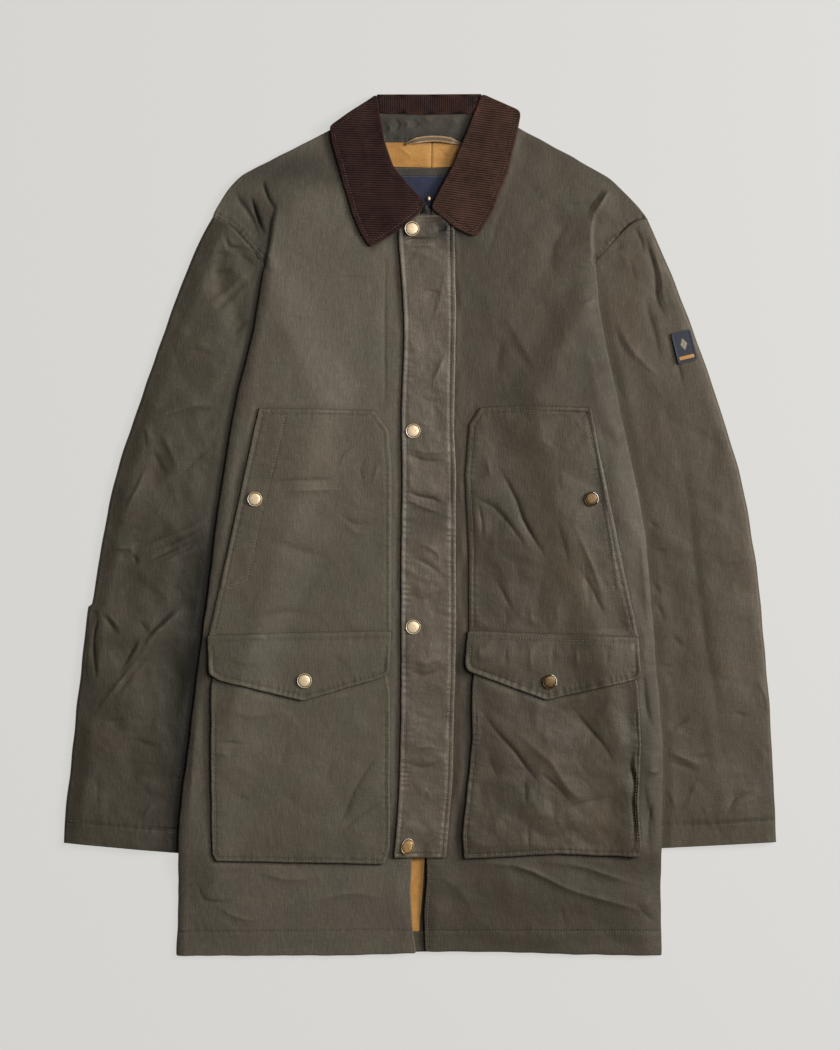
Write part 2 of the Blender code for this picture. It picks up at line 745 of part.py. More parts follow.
def front_wall(x, up):
    """Fronts are thicker where the hem is turned up."""
    return FRONT_WALL + HEM_EXTRA * (1.0 - smoothstep(HEM_HEIGHT, HEM_HEIGHT + HEM_STEP, up))


def stand_lift(x, up):
    """The stand rises away from the neck seam at both sides."""
    return STAND_LIFT * (1.0 - smoothstep(*STAND_RISE, up))


def cargo_lift(outline):
    """A bellows pocket is hollow inside its edges."""
    closed_edge = outline + [outline[0]]

    def lift(x, up):
        distance = line_distance((x, up), closed_edge)
        return (CARGO_DEPTH - POCKET_WALL) * smoothstep(*CARGO_EDGE, distance)

    return lift


def lay_body(stack):
    stack.lay("collar_fall_back", COLLAR_WALL - REST, "corduroy")
    stack.lay("back", BACK_WALL, "waxed", base=back_base)
    stack.lay("neck_lining", LINING_WALL, "lining")
    stack.lay("neck_facing", LINING_WALL, "waxed_dark", beside=("neck_lining",))
    stack.lay("neck_label", LABEL_WALL, "label", beside=("neck_lining",))
    stack.lay("hem_lining", LINING_WALL, "lining")
    stack.lay("hem_facing", LINING_WALL, "waxed_dark", beside=("hem_lining",))
    stack.lay("collar_stand", COLLAR_WALL, "waxed_dark", lift=stand_lift)
    stack.lay("zip_chain", ZIP_WALL, "zip", lift=front_lift)
    stack.lay("zip_slider", SLIDER_WALL, "brass", beside=("collar_stand",))
    for side in SIDES:
        stack.lay("front_" + side, front_wall, "waxed", lift=front_lift, base=front_base,
                  beside=("zip_chain", "zip_slider", "collar_stand"))
    for side in SIDES:
        cargo = "cargo_pocket_" + side
        hollow = cargo_lift(stack.outlines[cargo])
        stack.lay("hand_pocket_" + side, POCKET_WALL, "waxed")

        def cargo_wall(x, up, hollow=hollow):
            return CARGO_DEPTH - hollow(x, up)

        stack.lay(cargo, cargo_wall, "waxed_dark", lift=hollow)
        stack.lay("pocket_flap_" + side, FLAP_WALL, "waxed_dark")
    stack.lay("storm_flap", STORM_WALL, "waxed")
    stack.lay("collar_crest", COLLAR_WALL, "corduroy")
    for side in SIDES:
        stack.lay("collar_leaf_" + side, LEAF_WALL, "corduroy", clear=LEAF_CLEAR,
                  beside=("collar_crest",))


# Sleeves -------------------------------------------------------------------------------

def point_along(points, lengths, distance):
    """The point at a distance along a line whose running lengths are known."""
    for index in range(1, len(points)):
        if distance <= lengths[index] or index == len(points) - 1:
            span = lengths[index] - lengths[index - 1]
            t = (distance - lengths[index - 1]) / span
            start, end = points[index - 1], points[index]
            return (start[0] + (end[0] - start[0]) * t, start[1] + (end[1] - start[1]) * t)
    return points[-1]


def running_lengths(points):
    lengths = [0.0]
    for start, end in zip(points, points[1:]):
        lengths.append(lengths[-1] + math.dist(start, end))
    return lengths


def ring_plan(row, armhole, shares):
    """Points across a sleeve at one row, outer edge to inner edge."""
    outer_x, outer_up, inner_x, inner_up, bow = row
    tip, pit = armhole[0], armhole[-1]
    points = []
    for share, seam in zip(shares, armhole):
        chord = (tip[0] + (pit[0] - tip[0]) * share, tip[1] + (pit[1] - tip[1]) * share)
        x = outer_x + (inner_x - outer_x) * share + bow * (seam[0] - chord[0])
        up = outer_up + (inner_up - outer_up) * share + bow * (seam[1] - chord[1])
        points.append((x, up))
    return points


def free_share(x, up, body_edge, body_outline):
    """0 where the body lies on a sleeve, rising to 1 away from the body's edge."""
    if inside((x, up), body_outline):
        return 0.0
    return smoothstep(*SLEEVE_RISE, line_distance((x, up), body_edge))


def ring_loop(plan, inset, shift, body_edge, body_outline, folds):
    """One closed ring round a sleeve: over the top from outer to inner edge, then back below."""
    lengths = running_lengths(plan)
    total = lengths[-1]
    middle = [lengths[index] for index in range(1, len(plan) - 1)]
    top = []
    bottom = []

    def add(distance, share, floor_share):
        x, up = point_along(plan, lengths, distance)
        x, up = x + shift[0], up + shift[1]
        free = free_share(x, up, body_edge, body_outline)
        height = SLEEVE_FLAT + (SLEEVE_FULL - SLEEVE_FLAT) * free - 2.0 * inset
        crease = free * fold_height(x, up, folds) if folds and share > 0.99 else 0.0
        top.append((x, up, inset + height * share + crease))
        if floor_share is not None:
            bottom.append((x, up, inset + height * floor_share))

    edge_height = SLEEVE_FLAT - 2.0 * inset
    edge = [(inset + away * edge_height, share) for away, share in RING_EDGE]
    for index, (distance, share) in enumerate(edge):
        add(distance, share, None if index == 0 else 1.0 - share)
    for distance in middle:
        add(distance, 1.0, 0.0)
    for index, (distance, share) in enumerate(edge[::-1]):
        add(total - distance, share, None if index == len(edge) - 1 else 1.0 - share)
    return top + bottom[::-1]


def bridge(first, second, flip):
    """Quads between two rings given by their points' indices."""
    faces = []
    count = len(first)
    for index in range(count):
        after = (index + 1) % count
        face = (first[index], first[after], second[after], second[index])
        faces.append(face[::-1] if flip else face)
    return faces


def make_sleeve(side, front):
    armhole = armhole_line(side)
    lengths = running_lengths(armhole)
    shares = [length / lengths[-1] for length in lengths]
    rows = smooth_line(SLEEVE_ROWS[side], RING_SPACING)
    body_edge = side_fold(side)
    plans = [ring_plan(row, armhole, shares) for row in rows]
    before, last = plans[-2], plans[-1]
    away = Vector(before[0]) - Vector(last[0])
    away = away.normalized() * 2.0 * SEAM
    vertices = []
    outer_rings = []
    inner_rings = []

    def add_ring(plan, inset, folds, shift):
        loop = ring_loop(plan, inset, shift, body_edge, front, folds)
        first = len(vertices)
        vertices.extend(loop)
        return list(range(first, first + len(loop)))

    final = len(plans) - 1
    for index, plan in enumerate(plans):
        shift = (away.x, away.y) if index == final else (0.0, 0.0)
        outer_rings.append(add_ring(plan, 0.0, SLEEVE_FOLDS[side], shift))
        if index % 2 == 0 or index == final:
            inner_rings.append(add_ring(plan, SLEEVE_WALL, None, shift))
    faces = []
    for first, second in zip(outer_rings, outer_rings[1:]):
        faces += bridge(first, second, False)
    for first, second in zip(inner_rings, inner_rings[1:]):
        faces += bridge(first, second, True)
    faces += bridge(inner_rings[0], outer_rings[0], False)
    faces += bridge(outer_rings[-1], inner_rings[-1], False)
    return add_piece("sleeve_" + side, vertices, faces, "waxed_dark")


# Small pieces --------------------------------------------------------------------------

def make_snap(name, centre, height):
    """A domed snap cap turned from its profile."""
    vertices = []
    for radius, rise in SNAP_PROFILE:
        for step in range(SNAP_SIDES):
            angle = 2.0 * math.pi * step / SNAP_SIDES
            vertices.append((centre[0] + radius * math.cos(angle),
                             centre[1] + radius * math.sin(angle), height + rise))
    faces = [tuple(range(SNAP_SIDES))[::-1]]
    for ring in range(len(SNAP_PROFILE) - 1):
        first = range(ring * SNAP_SIDES, (ring + 1) * SNAP_SIDES)
        second = range((ring + 1) * SNAP_SIDES, (ring + 2) * SNAP_SIDES)
        faces += bridge(list(first), list(second), False)
    crown = len(vertices)
    vertices.append((centre[0], centre[1], height + SNAP_TOP))
    top = (len(SNAP_PROFILE) - 1) * SNAP_SIDES
    for step in range(SNAP_SIDES):
        faces.append((top + step, top + (step + 1) % SNAP_SIDES, crown))
    add_piece(name, vertices, faces, "brass")


def make_snaps(stack):
    for name, centre in SNAPS.items():
        samples = [stack.height_at(*centre)]
        for step in range(SNAP_SIDES):
            angle = 2.0 * math.pi * step / SNAP_SIDES
            samples.append(stack.height_at(centre[0] + SNAP_RADIUS * math.cos(angle),
                                           centre[1] + SNAP_RADIUS * math.sin(angle)))
        make_snap(name, centre, max(samples) + REST)


def make_hanger_loop(stack):
    """A flat loop bowed over the neck seam, its ends lower than its middle."""
    (x1, up1), (x2, up2), (x3, up3) = LOOP_ARC
    middle = []
    for step in range(LOOP_STEPS + 1):
        t = step / LOOP_STEPS
        bow = 4.0 * t * (1.0 - t)
        x = x1 + (x3 - x1) * t
        up = up1 + (up3 - up1) * t + bow * (up2 - 0.5 * (up1 + up3))
        middle.append((x, up))
    height = max(stack.height_at(x, up + shift) for x, up in middle
                 for shift in (-LOOP_REACH, 0.0, LOOP_REACH))
    vertices = []
    faces = []
    for step, (x, up) in enumerate(middle):
        before = middle[max(step - 1, 0)]
        after = middle[min(step + 1, LOOP_STEPS)]
        along = (Vector(after) - Vector(before)).normalized()
        half = Vector((-along.y, along.x)) * 0.5 * LOOP_WIDTH
        low = height + REST
        for side, rise in ((1.0, 0.0), (1.0, LOOP_WALL), (-1.0, LOOP_WALL), (-1.0, 0.0)):
            vertices.append((x + side * half.x, up + side * half.y, low + rise))
    for step in range(LOOP_STEPS):
        first = list(range(4 * step, 4 * step + 4))
        second = list(range(4 * step + 4, 4 * step + 8))
        faces += bridge(first, second, False)
    faces.append((0, 1, 2, 3))
    faces.append(tuple(4 * LOOP_STEPS + corner for corner in (3, 2, 1, 0)))
    add_piece("hanger_loop", vertices, faces, "tape")


def make_patch(sleeve):
    """A small patch that follows the sleeve under it."""
    shape = bmesh.new()
    shape.from_mesh(sleeve.data)
    surface = BVHTree.FromBMesh(shape)
    columns, rows = PATCH_CELLS
    width, height = PATCH_SIZE
    low = []
    for row in range(rows + 1):
        for column in range(columns + 1):
            across = (column / columns - 0.5) * width
            along = (row / rows - 0.5) * height
            if row in (0, rows) and column in (0, columns):
                across *= PATCH_CORNER[0]
                along *= PATCH_CORNER[1]
            x = PATCH_CENTRE[0] + across * math.cos(PATCH_TILT) - along * math.sin(PATCH_TILT)
            up = PATCH_CENTRE[1] + across * math.sin(PATCH_TILT) + along * math.cos(PATCH_TILT)
            heights = []
            for aside, ahead in ((0.0, 0.0), (1.0, 0.0), (-1.0, 0.0), (0.0, 1.0), (0.0, -1.0)):
                near = (x + aside * PATCH_REACH, up + ahead * PATCH_REACH)
                above = Vector((near[0] * MM, (near[1] - MIDDLE_UP) * MM, 0.1))
                hit = surface.ray_cast(above, Vector((0.0, 0.0, -1.0)))[0]
                heights.append(hit.z / MM if hit else 0.0)
            low.append((x, up, max(heights) + REST))
    shape.free()
    count = len(low)
    vertices = low + [(x, up, z + PATCH_WALL) for x, up, z in low]
    faces = []
    for row in range(rows):
        for column in range(columns):
            a = row * (columns + 1) + column
            b = a + 1
            c = b + columns + 1
            d = a + columns + 1
            faces.append((d, c, b, a))
            faces.append(tuple(corner + count for corner in (a, b, c, d)))
    border = list(range(columns))
    border += [row * (columns + 1) + columns for row in range(rows)]
    border += [rows * (columns + 1) + column for column in range(columns, 0, -1)]
    border += [row * (columns + 1) for row in range(rows, 0, -1)]
    for index, start in enumerate(border):
        end = border[(index + 1) % len(border)]
        faces.append((start, end, end + count, start + count))
    add_piece("sleeve_patch", vertices, faces, "patch")


def clear_scene():
    for item in list(bpy.data.objects):
        bpy.data.objects.remove(item, do_unlink=True)


TUCK_LINES = {side: tuck_line(side) for side in SIDES}
TUCK_AREAS = {side: tuck_area(side) for side in SIDES}
BODY_EDGES = []
for edge_side in SIDES:
    BODY_EDGES.append(side_fold(edge_side))
    BODY_EDGES.append(smooth_line(SEEN_ARMHOLE[edge_side]))
    BODY_EDGES.append(smooth_line(SHOULDER[edge_side]))
    BODY_EDGES.append(straight_line(HEM_EDGE[edge_side]))


def main():
    clear_scene()
    outlines = make_outlines()
    hem_up = HEM_HEIGHT + 0.5 * HEM_STEP
    hem_fold = straight_line(((BODY_SIDES[0][1], hem_up), (BODY_SIDES[0][2], hem_up)))
    lines = [TUCK_LINES["right"], TUCK_LINES["left"], hem_fold]
    stack = Stack(outlines, lines)
    lay_body(stack)
    make_snaps(stack)
    make_hanger_loop(stack)
    sleeves = {side: make_sleeve(side, outlines["front_" + side]) for side in SIDES}
    make_patch(sleeves["left"])


main()
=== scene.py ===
import math

import bpy
import numpy as np
from mathutils import Euler, Matrix, Vector
from mathutils.bvhtree import BVHTree
from mathutils.geometry import delaunay_2d_cdt
from mathutils.kdtree import KDTree


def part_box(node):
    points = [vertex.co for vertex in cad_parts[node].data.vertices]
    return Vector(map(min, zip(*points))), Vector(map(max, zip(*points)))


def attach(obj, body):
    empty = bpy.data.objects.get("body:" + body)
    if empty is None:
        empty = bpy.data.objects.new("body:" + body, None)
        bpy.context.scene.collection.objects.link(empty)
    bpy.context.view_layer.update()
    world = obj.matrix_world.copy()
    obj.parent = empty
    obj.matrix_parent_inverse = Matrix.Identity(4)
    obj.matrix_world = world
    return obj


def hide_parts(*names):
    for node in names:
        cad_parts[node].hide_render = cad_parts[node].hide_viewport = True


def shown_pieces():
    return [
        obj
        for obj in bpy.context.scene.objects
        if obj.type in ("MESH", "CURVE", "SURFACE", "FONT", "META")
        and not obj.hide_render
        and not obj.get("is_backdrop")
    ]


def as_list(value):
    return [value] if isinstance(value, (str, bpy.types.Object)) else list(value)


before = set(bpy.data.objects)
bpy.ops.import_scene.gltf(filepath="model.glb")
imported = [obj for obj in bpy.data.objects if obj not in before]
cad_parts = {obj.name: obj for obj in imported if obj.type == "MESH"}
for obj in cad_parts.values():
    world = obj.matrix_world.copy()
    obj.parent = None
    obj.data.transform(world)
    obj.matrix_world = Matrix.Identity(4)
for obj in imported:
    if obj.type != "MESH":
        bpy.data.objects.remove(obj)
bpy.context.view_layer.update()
scene = bpy.context.scene
bpy.ops.object.select_all(action="DESELECT")
print("jacket: solids loaded")

# Everything below is in millimetres: x towards the wearer's left, then the height up
# from the hem. It becomes metres, centred, only when a mesh is made.
middleUp = 440.6
mm = 0.001
sides = ("right", "left")


# ---- shapes on the flat

def ease(low, high, value):
    t = np.clip((value - low) / (high - low), 0.0, 1.0)
    return t * t * (3.0 - 2.0 * t)


def runOf(line):
    # the length along a line at each of its points
    return np.concatenate([[0.0], np.cumsum(np.hypot(*np.diff(line, axis=0).T))])


def pointsAt(at, run, line):
    return np.stack([np.interp(at, run, line[:, 0]), np.interp(at, run, line[:, 1])], axis=1)


def nearTo(p, line, reach):
    # picks the points in the box round a line
    return np.all((p > line.min(axis=0) - reach) & (p < line.max(axis=0) + reach), axis=1)


def smoothLine(rows, step):
    rows = np.array(rows, float)
    last = len(rows) - 1
    out = []
    for i in range(last):
        a, b, c, d = rows[max(i - 1, 0)], rows[i], rows[i + 1], rows[min(i + 2, last)]
        parts = max(1, round(math.dist(b[:2], c[:2]) / step))
        for k in range(parts):
            t = k / parts
            bend = (2 * a - 5 * b + 4 * c - d) * t * t + (3 * b - 3 * c + d - a) * t ** 3
            out.append(0.5 * (2 * b + (c - a) * t + bend))
    out.append(rows[-1])
    return np.array(out)


def joined(*lines):
    out = [np.array(lines[0][0], float)]
    for line in lines:
        for point in line:
            if math.dist(out[-1], point) > 0.01:
                out.append(np.array(point, float))
    if math.dist(out[0], out[-1]) <= 0.01:
        out.pop()
    return np.array(out)


def evenly(outline, step, rounding=0):
    # a closed outline again with even steps, its corners softened
    loop = np.vstack([outline, outline[:1]])
    run = runOf(loop)
    count = max(8, round(run[-1] / step))
    out = pointsAt(np.linspace(0.0, run[-1], count, endpoint=False), run, loop)
    for _ in range(rounding):
        out = 0.5 * out + 0.25 * (np.roll(out, 1, axis=0) + np.roll(out, -1, axis=0))
    area = np.sum(out[:, 0] * np.roll(out[:, 1], -1) - out[:, 1] * np.roll(out[:, 0], -1))
    return out if area > 0 else out[::-1].copy()


def sideways(line, closed=True):
    # unit vectors to the left of a line's direction
    if closed:
        along = np.roll(line, -1, axis=0) - np.roll(line, 1, axis=0)
    else:
        along = np.gradient(line, axis=0)
    along /= np.maximum(np.hypot(along[:, 0], along[:, 1]), 1e-9)[:, None]
    return np.stack([-along[:, 1], along[:, 0]], axis=1)


def insideOf(p, outline):
    found = np.zeros(len(p), bool)
    a = outline[-1]
    for b in outline:
        if a[1] != b[1]:
            crosses = (b[1] > p[:, 1]) != (a[1] > p[:, 1])
            found ^= crosses & (p[:, 0] < b[0] + (p[:, 1] - b[1]) / (a[1] - b[1]) * (a[0] - b[0]))
        a = b
    return found


def distanceTo(p, line, closed=False):
    # distance to a line, from its points set close together
    loop = np.vstack([line, line[:1]]) if closed else np.asarray(line)
    run = runOf(loop)
    close = pointsAt(np.linspace(0.0, run[-1], max(2, int(run[-1] / 0.8))), run, loop)
    tree = KDTree(len(close))
    for i, (x, up) in enumerate(close):
        tree.insert((x, up, 0.0), i)
    tree.balance()
    return np.array([tree.find((x, up, 0.0))[2] for x, up in p])


def alongLine(p, line):
    # for an open line: signed distance to its left, and length along it
    best = np.full(len(p), 1e9)
    side = np.zeros(len(p))
    along = np.zeros(len(p))
    done = 0.0
    for a, b in zip(line[:-1], line[1:]):
        d = b - a
        size = math.hypot(*d)
        t = np.clip(((p - a) @ d) / (size * size), 0.0, 1.0)
        q = p - a - t[:, None] * d
        away = np.hypot(q[:, 0], q[:, 1])
        near = away < best
        best[near] = away[near]
        side[near] = np.sign(d[0] * q[near, 1] - d[1] * q[near, 0]) * away[near]
        along[near] = done + t[near] * size
        done += size
    return side, along, done


def latticeNoise(p, size, seed):
    # smooth noise from about -1 to 1, with lumps of the given size
    turns = np.random.default_rng(seed).uniform(0.0, 2.0 * math.pi, (64, 64))
    q = p / size
    cell = np.floor(q).astype(int)
    f = q - cell
    w = f * f * f * (f * (f * 6.0 - 15.0) + 10.0)
    rows = []
    for j in (0, 1):
        ends = []
        for i in (0, 1):
            a = turns[(cell[:, 0] + i) % 64, (cell[:, 1] + j) % 64]
            ends.append(np.cos(a) * (f[:, 0] - i) + np.sin(a) * (f[:, 1] - j))
        rows.append(ends[0] + (ends[1] - ends[0]) * w[:, 0])
    return 1.5 * (rows[0] + (rows[1] - rows[0]) * w[:, 1])


def lineNoise(along, size, seed, lane=0.0):
    return latticeNoise(np.stack([along, along * 0.0 + lane], axis=1), size, seed)


def facets(p, size, seed):
    # distance to the nearest of scattered points: shallow hollows between sharp ridges
    scatter = np.random.default_rng(seed).uniform(0.0, 1.0, (64, 64, 2))
    q = p / size
    cell = np.floor(q).astype(int)
    nearest = np.full(len(p), 9.0)
    for i in (-1, 0, 1):
        for j in (-1, 0, 1):
            c = cell + (i, j)
            away = q - c - scatter[c[:, 0] % 64, c[:, 1] % 64]
            nearest = np.minimum(nearest, np.sum(away ** 2, axis=1))
    return np.sqrt(nearest)


def crumpled(p, seed, fine=1.0):
    # flat facets between sharp little folds, as waxed cotton takes them, stronger here than there
    bent = p + 7.0 * np.stack([latticeNoise(p, 36.0, seed + 7), latticeNoise(p, 36.0, seed + 8)], axis=1)
    large, medium, small = [facets(bent, size, seed + i) - facets(bent, size, seed + i + 1)
                            for i, size in ((0, 62.0), (2, 25.0), (4, 11.0))]
    strong = 0.75 + 0.5 * latticeNoise(p, 90.0, seed + 6)
    return 2.2 * large + strong * (0.8 * medium + 0.2 * fine * small)


creaseGain = 1.15
fromLight = np.array((-0.96, -0.27))


def creasePath(flat):
    return smoothLine(np.array(flat, float).reshape(-1, 2), 9.0)


def creasesNear(p, creases):
    # each crease is its points, then its width and how far it rises or sinks; found are the
    # points near it, how far they lie towards its shaded flank and how full it is there
    for flat, width, rise in creases:
        path = creasePath(flat)
        reach = 5.0 * width
        near = nearTo(p, path, reach)
        if near.any():
            side, along, total = alongLine(p[near], path)
            run = path[-1] - path[0]
            steep = np.sign(rise * (fromLight[1] * run[0] - fromLight[0] * run[1]))
            ends = ease(0.0, 0.4, along / total) * ease(0.0, 0.4, 1.0 - along / total)
            wave = 1.0 + 0.2 * np.sin(along / (3.0 * width) + total)
            yield near, side * steep, ends * wave, width, rise


def creaseHeight(p, creases):
    height = np.zeros(len(p))
    for near, shadeSide, full, width, rise in creasesNear(p, creases):
        away = np.abs(shadeSide)
        flank = away / np.where(shadeSide > 0.0, 0.55, 2.4)
        height[near] += creaseGain * rise * full * (0.3 * np.exp(-(away / (0.5 * width)) ** 1.25)
                                                    + 0.65 * np.exp(-(flank / (1.25 * width)) ** 1.4))
    return height


def creaseShadeTone(p, creases, dark=0.15):
    # painted shade on the shaded flank of a crease and a painted highlight on the lit one
    tone = np.zeros(len(p))
    for near, shadeSide, full, width, rise in creasesNear(p, creases):
        deep = np.exp(-((shadeSide - 0.3 * width) / (0.25 * width + 0.4)) ** 2)
        lit = np.exp(-((shadeSide + 0.35 * width) / (0.4 * width + 0.5)) ** 2)
        tone[near] += dark * abs(rise) * full * (0.4 * lit - deep)
    return tone


def creaseRows(creases):
    return [(creasePath(flat), (-1.3, 0.0, 1.3)) for flat, width, _ in creases if width < 7.0]


def tuckHeight(p, line, drop, reach):
    # a fold that runs out: the cloth to the left of the line lies lower along it
    side, along, total = alongLine(p, line)
    fade = 1.0 - ease(0.6, 1.0, along / total)
    low = -drop * ease(-0.4, 2.2, side) * np.exp(-np.maximum(side, 0.0) / reach)
    high = 0.35 * drop * np.exp(-np.abs(side + 3.0) / 7.0)
    return fade * np.where((along > 0.0) & (along < total), low + high, 0.0)


def seamHeight(p, seams, seed):
    # a stitched line draws the cloth down and puckers it
    height = np.zeros(len(p))
    for number, (line, depth, pucker) in enumerate(seams):
        near = nearTo(p, line, 9.0)
        if not near.any():
            continue
        side, along, _ = alongLine(p[near], line)
        beat = along / 7.5 + 1.6 * lineNoise(along, 26.0, seed + number)
        strong = 0.55 + 0.6 * lineNoise(along, 60.0, seed + number, 9.0)
        height[near] -= depth * np.exp(-(side / 0.9) ** 2)
        height[near] += pucker * strong * np.sin(2.0 * math.pi * beat) * np.exp(-(side / 5.0) ** 2)
    return height


def lightAndShadePatches(p, patches):
    # broad soft patches of painted shade and painted light: middle, half width and height, and how dark or
    # pale
    tone = np.zeros(len(p))
    for x, up, wide, high, amount in patches:
        tone += amount * np.exp(-((p[:, 0] - x) / wide) ** 2 - ((p[:, 1] - up) / high) ** 2)
    return tone


def seamShadeTone(p, seams, dark=0.3):
    # painted shade along each stitched line
    tone = np.zeros(len(p))
    for line, _, _ in seams:
        near = nearTo(p, line, 4.0)
        if near.any():
            tone[near] -= dark * np.exp(-(alongLine(p[near], line)[0] / 0.8) ** 2)
    return tone


# ---- the solids' own heights

def reliefOf(nodeName, fromBelow=False, cell=4.0, passes=3):
    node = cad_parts[nodeName]
    points = [node.matrix_world @ v.co for v in node.data.vertices]
    tree = BVHTree.FromPolygons(points, [tuple(face.vertices) for face in node.data.polygons])
    low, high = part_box(nodeName)
    x0, up0 = low[0] * 1000 - 5 * cell, low[1] * 1000 + middleUp - 5 * cell
    columns = int((high[0] - low[0]) * 1000 / cell) + 11
    rows = int((high[1] - low[1]) * 1000 / cell) + 11
    height = np.zeros((rows, columns))
    weight = np.zeros((rows, columns))
    start, down = (-0.1, 1.0) if fromBelow else (0.1, -1.0)
    for r in range(rows):
        y = (up0 + r * cell - middleUp) * 0.001
        for c in range(columns):
            hit = tree.ray_cast(Vector(((x0 + c * cell) * 0.001, y, start)), Vector((0.0, 0.0, down)))[0]
            if hit:
                height[r, c] = hit.z * 1000
                weight[r, c] = 1.0

    # cells on the very edge catch its rounding, so they are filled from further in
    whole = weight > 0
    for shift in ((0, 1), (0, -1), (1, 0), (-1, 0)):
        whole &= np.roll(weight, shift, (0, 1)) > 0
    if whole.sum() > 0.4 * weight.sum():
        weight = whole * 1.0

    def blurred(grid):
        wide = np.pad(grid, 1, mode="edge")
        wide = 0.25 * (wide[:-2] + 2.0 * wide[1:-1] + wide[2:])
        return 0.25 * (wide[:, :-2] + 2.0 * wide[:, 1:-1] + wide[:, 2:])

    for step in range(passes + 4):
        soft = blurred(height * weight)
        share = blurred(weight)
        known = share > 1e-4
        fresh = np.where(known, soft / np.maximum(share, 1e-4), height)
        height = np.where((weight > 0) & (step >= passes), height, fresh)
        weight = np.where(known, np.maximum(weight, 0.02), 0.0) if step < passes else known * 1.0

    def sample(p):
        u = np.clip((p[:, 0] - x0) / cell, 0.0, columns - 1.001)
        v = np.clip((p[:, 1] - up0) / cell, 0.0, rows - 1.001)
        i, j = u.astype(int), v.astype(int)
        a, b = u - i, v - j
        top = height[j, i] * (1 - a) + height[j, i + 1] * a
        return top * (1 - b) + (height[j + 1, i] * (1 - a) + height[j + 1, i + 1] * a) * b

    return sample


# ---- outlines, as the pieces are cut

bodySides = ((0.6, -249, 247), (60, -247, 246), (135, -246, 247), (210, -237, 248), (300, -226, 241),
             (390, -214, 234), (450, -207, 227), (556, -190, 205), (630, -172, 189), (670, -165, 183))
armholeSeen = {"right": ((-212, 755), (-192, 743.5), (-175, 725), (-159, 707)),
               "left": ((232, 754), (217, 749), (199, 732), (179.5, 710))}
armholeHidden = {"right": ((-159, 707), (-146, 668), (-126, 618), (-106, 570)),
                 "left": ((179.5, 710), (166, 668), (144, 618), (122, 570))}
shoulders = {"right": ((-212, 755), (-208, 764), (-198, 780), (-186, 794), (-169, 805), (-121, 829),
                       (-60, 861)),
             "left": ((232, 754), (224, 764), (209, 780), (194, 794), (176, 805), (133, 829), (75, 859))}
neckEdges = {"right": ((-60, 861), (-50, 835), (-42, 806), (-26, 779), (0, 764)),
             "left": ((75, 859), (64, 835), (51, 806), (35, 779), (11, 764))}
centreEdges = {"right": ((0, 764), (0, 140), (-8, 100), (-10, 72), (-9, 45), (-7, 26), (-4, 3.5)),
               "left": ((11, 764), (11, 140), (6.6, 100), (6.8, 75), (5, 57), (3.8, 38), (5.3, 5))}
hemEdges = {"right": ((-4, 3.5), (-70, 1), (-249, 0.6)),
            "left": ((5.3, 5), (82, 4.5), (159, 2), (247, 0.6))}
backNeck = ((-60, 861), (-52, 844), (-40, 835), (-20, 833), (34, 833), (52, 835), (64, 844), (75, 859))


def wholeArmhole(side, step):
    return np.vstack([smoothLine(armholeSeen[side], step), smoothLine(armholeHidden[side], step)[1:]])


def bodySide(side):
    column = 1 if side == "right" else 2
    rows = [(row[column], row[0]) for row in bodySides] + [armholeSeen[side][-1]]
    return smoothLine(rows, 8.0)


def frontOutline(side):
    return joined(bodySide(side), smoothLine(armholeSeen[side], 6.0)[::-1], smoothLine(shoulders[side], 6.0),
                  smoothLine(neckEdges[side], 5.0), centreEdges[side], hemEdges[side])


def backOutline():
    halves = []
    for side in sides:
        fold = bodySide(side)
        fold = fold[fold[:, 1] < 557.0]      # up to the foot of the armhole
        halves.append(joined(fold, wholeArmhole(side, 8.0)[::-1], smoothLine(shoulders[side], 8.0)))
    hem = ((247, 0.6), (30, 3.8), (-30, 2.8), (-249, 0.6))
    return joined(halves[0], smoothLine(backNeck, 6.0), halves[1][::-1], hem)


# ---- meshes

def makePiece(name, points, faces, materials, wear=None, faceMaterial=None, tone=None):
    mesh = bpy.data.meshes.new(name)
    points = np.asarray(points, float) * mm
    points[:, 1] -= middleUp * mm
    mesh.from_pydata(points.tolist(), [], faces)
    for material in materials:
        mesh.materials.append(material)
    mesh.shade_smooth()
    for key, numbers in (("wear", wear), ("tone", tone)):
        if numbers is not None:
            values = mesh.attributes.new(key, "FLOAT", "POINT")
            values.data.foreach_set("value", np.asarray(numbers, np.float32))
    if faceMaterial is not None:
        mesh.polygons.foreach_set("material_index", np.asarray(faceMaterial, np.int32))
    mesh.update()
    piece = bpy.data.objects.new(name, mesh)
    scene.collection.objects.link(piece)
    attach(piece, "root")
    return piece


def ridgeWearAndShade(height, faces, passes=10):
    # how far each point stands above the cloth round it: worn ridges, and hollows darkened as painted shade
    f = np.array(faces)
    edges = np.vstack([f[:, [0, 1]], f[:, [1, 2]], f[:, [2, 0]]])
    count = len(height)
    links = np.bincount(edges.ravel(), minlength=count).clip(1)
    a, b = edges.T
    soft = height.copy()
    for _ in range(passes):
        total = np.bincount(a, soft[b], count) + np.bincount(b, soft[a], count)
        soft = 0.5 * soft + 0.5 * total / links
    return height - soft


def flatPoints(low, high, spacing, weave=None):
    # a grid of points over a box; a weave turns it and gives each way its own spacing
    if weave is None:
        rowGap = spacing * 0.866
        ups = np.arange(low[1], high[1], rowGap)
        xs = np.arange(low[0], high[0], spacing)
        x, up = np.meshgrid(xs, ups)
        x = x + 0.5 * spacing * (np.arange(len(ups)) % 2)[:, None]
        return np.stack([x.ravel(), up.ravel()], axis=1)
    turn, alongGap, acrossGap = weave
    middle = 0.5 * (low + high)
    reach = 0.6 * math.dist(low, high)
    x, up = np.meshgrid(np.arange(-reach, reach, alongGap), np.arange(-reach, reach, acrossGap))
    x, up = x.ravel(), up.ravel()
    c, s = math.cos(turn), math.sin(turn)
    return np.stack([middle[0] + c * x - s * up, middle[1] + s * x + c * up], axis=1)


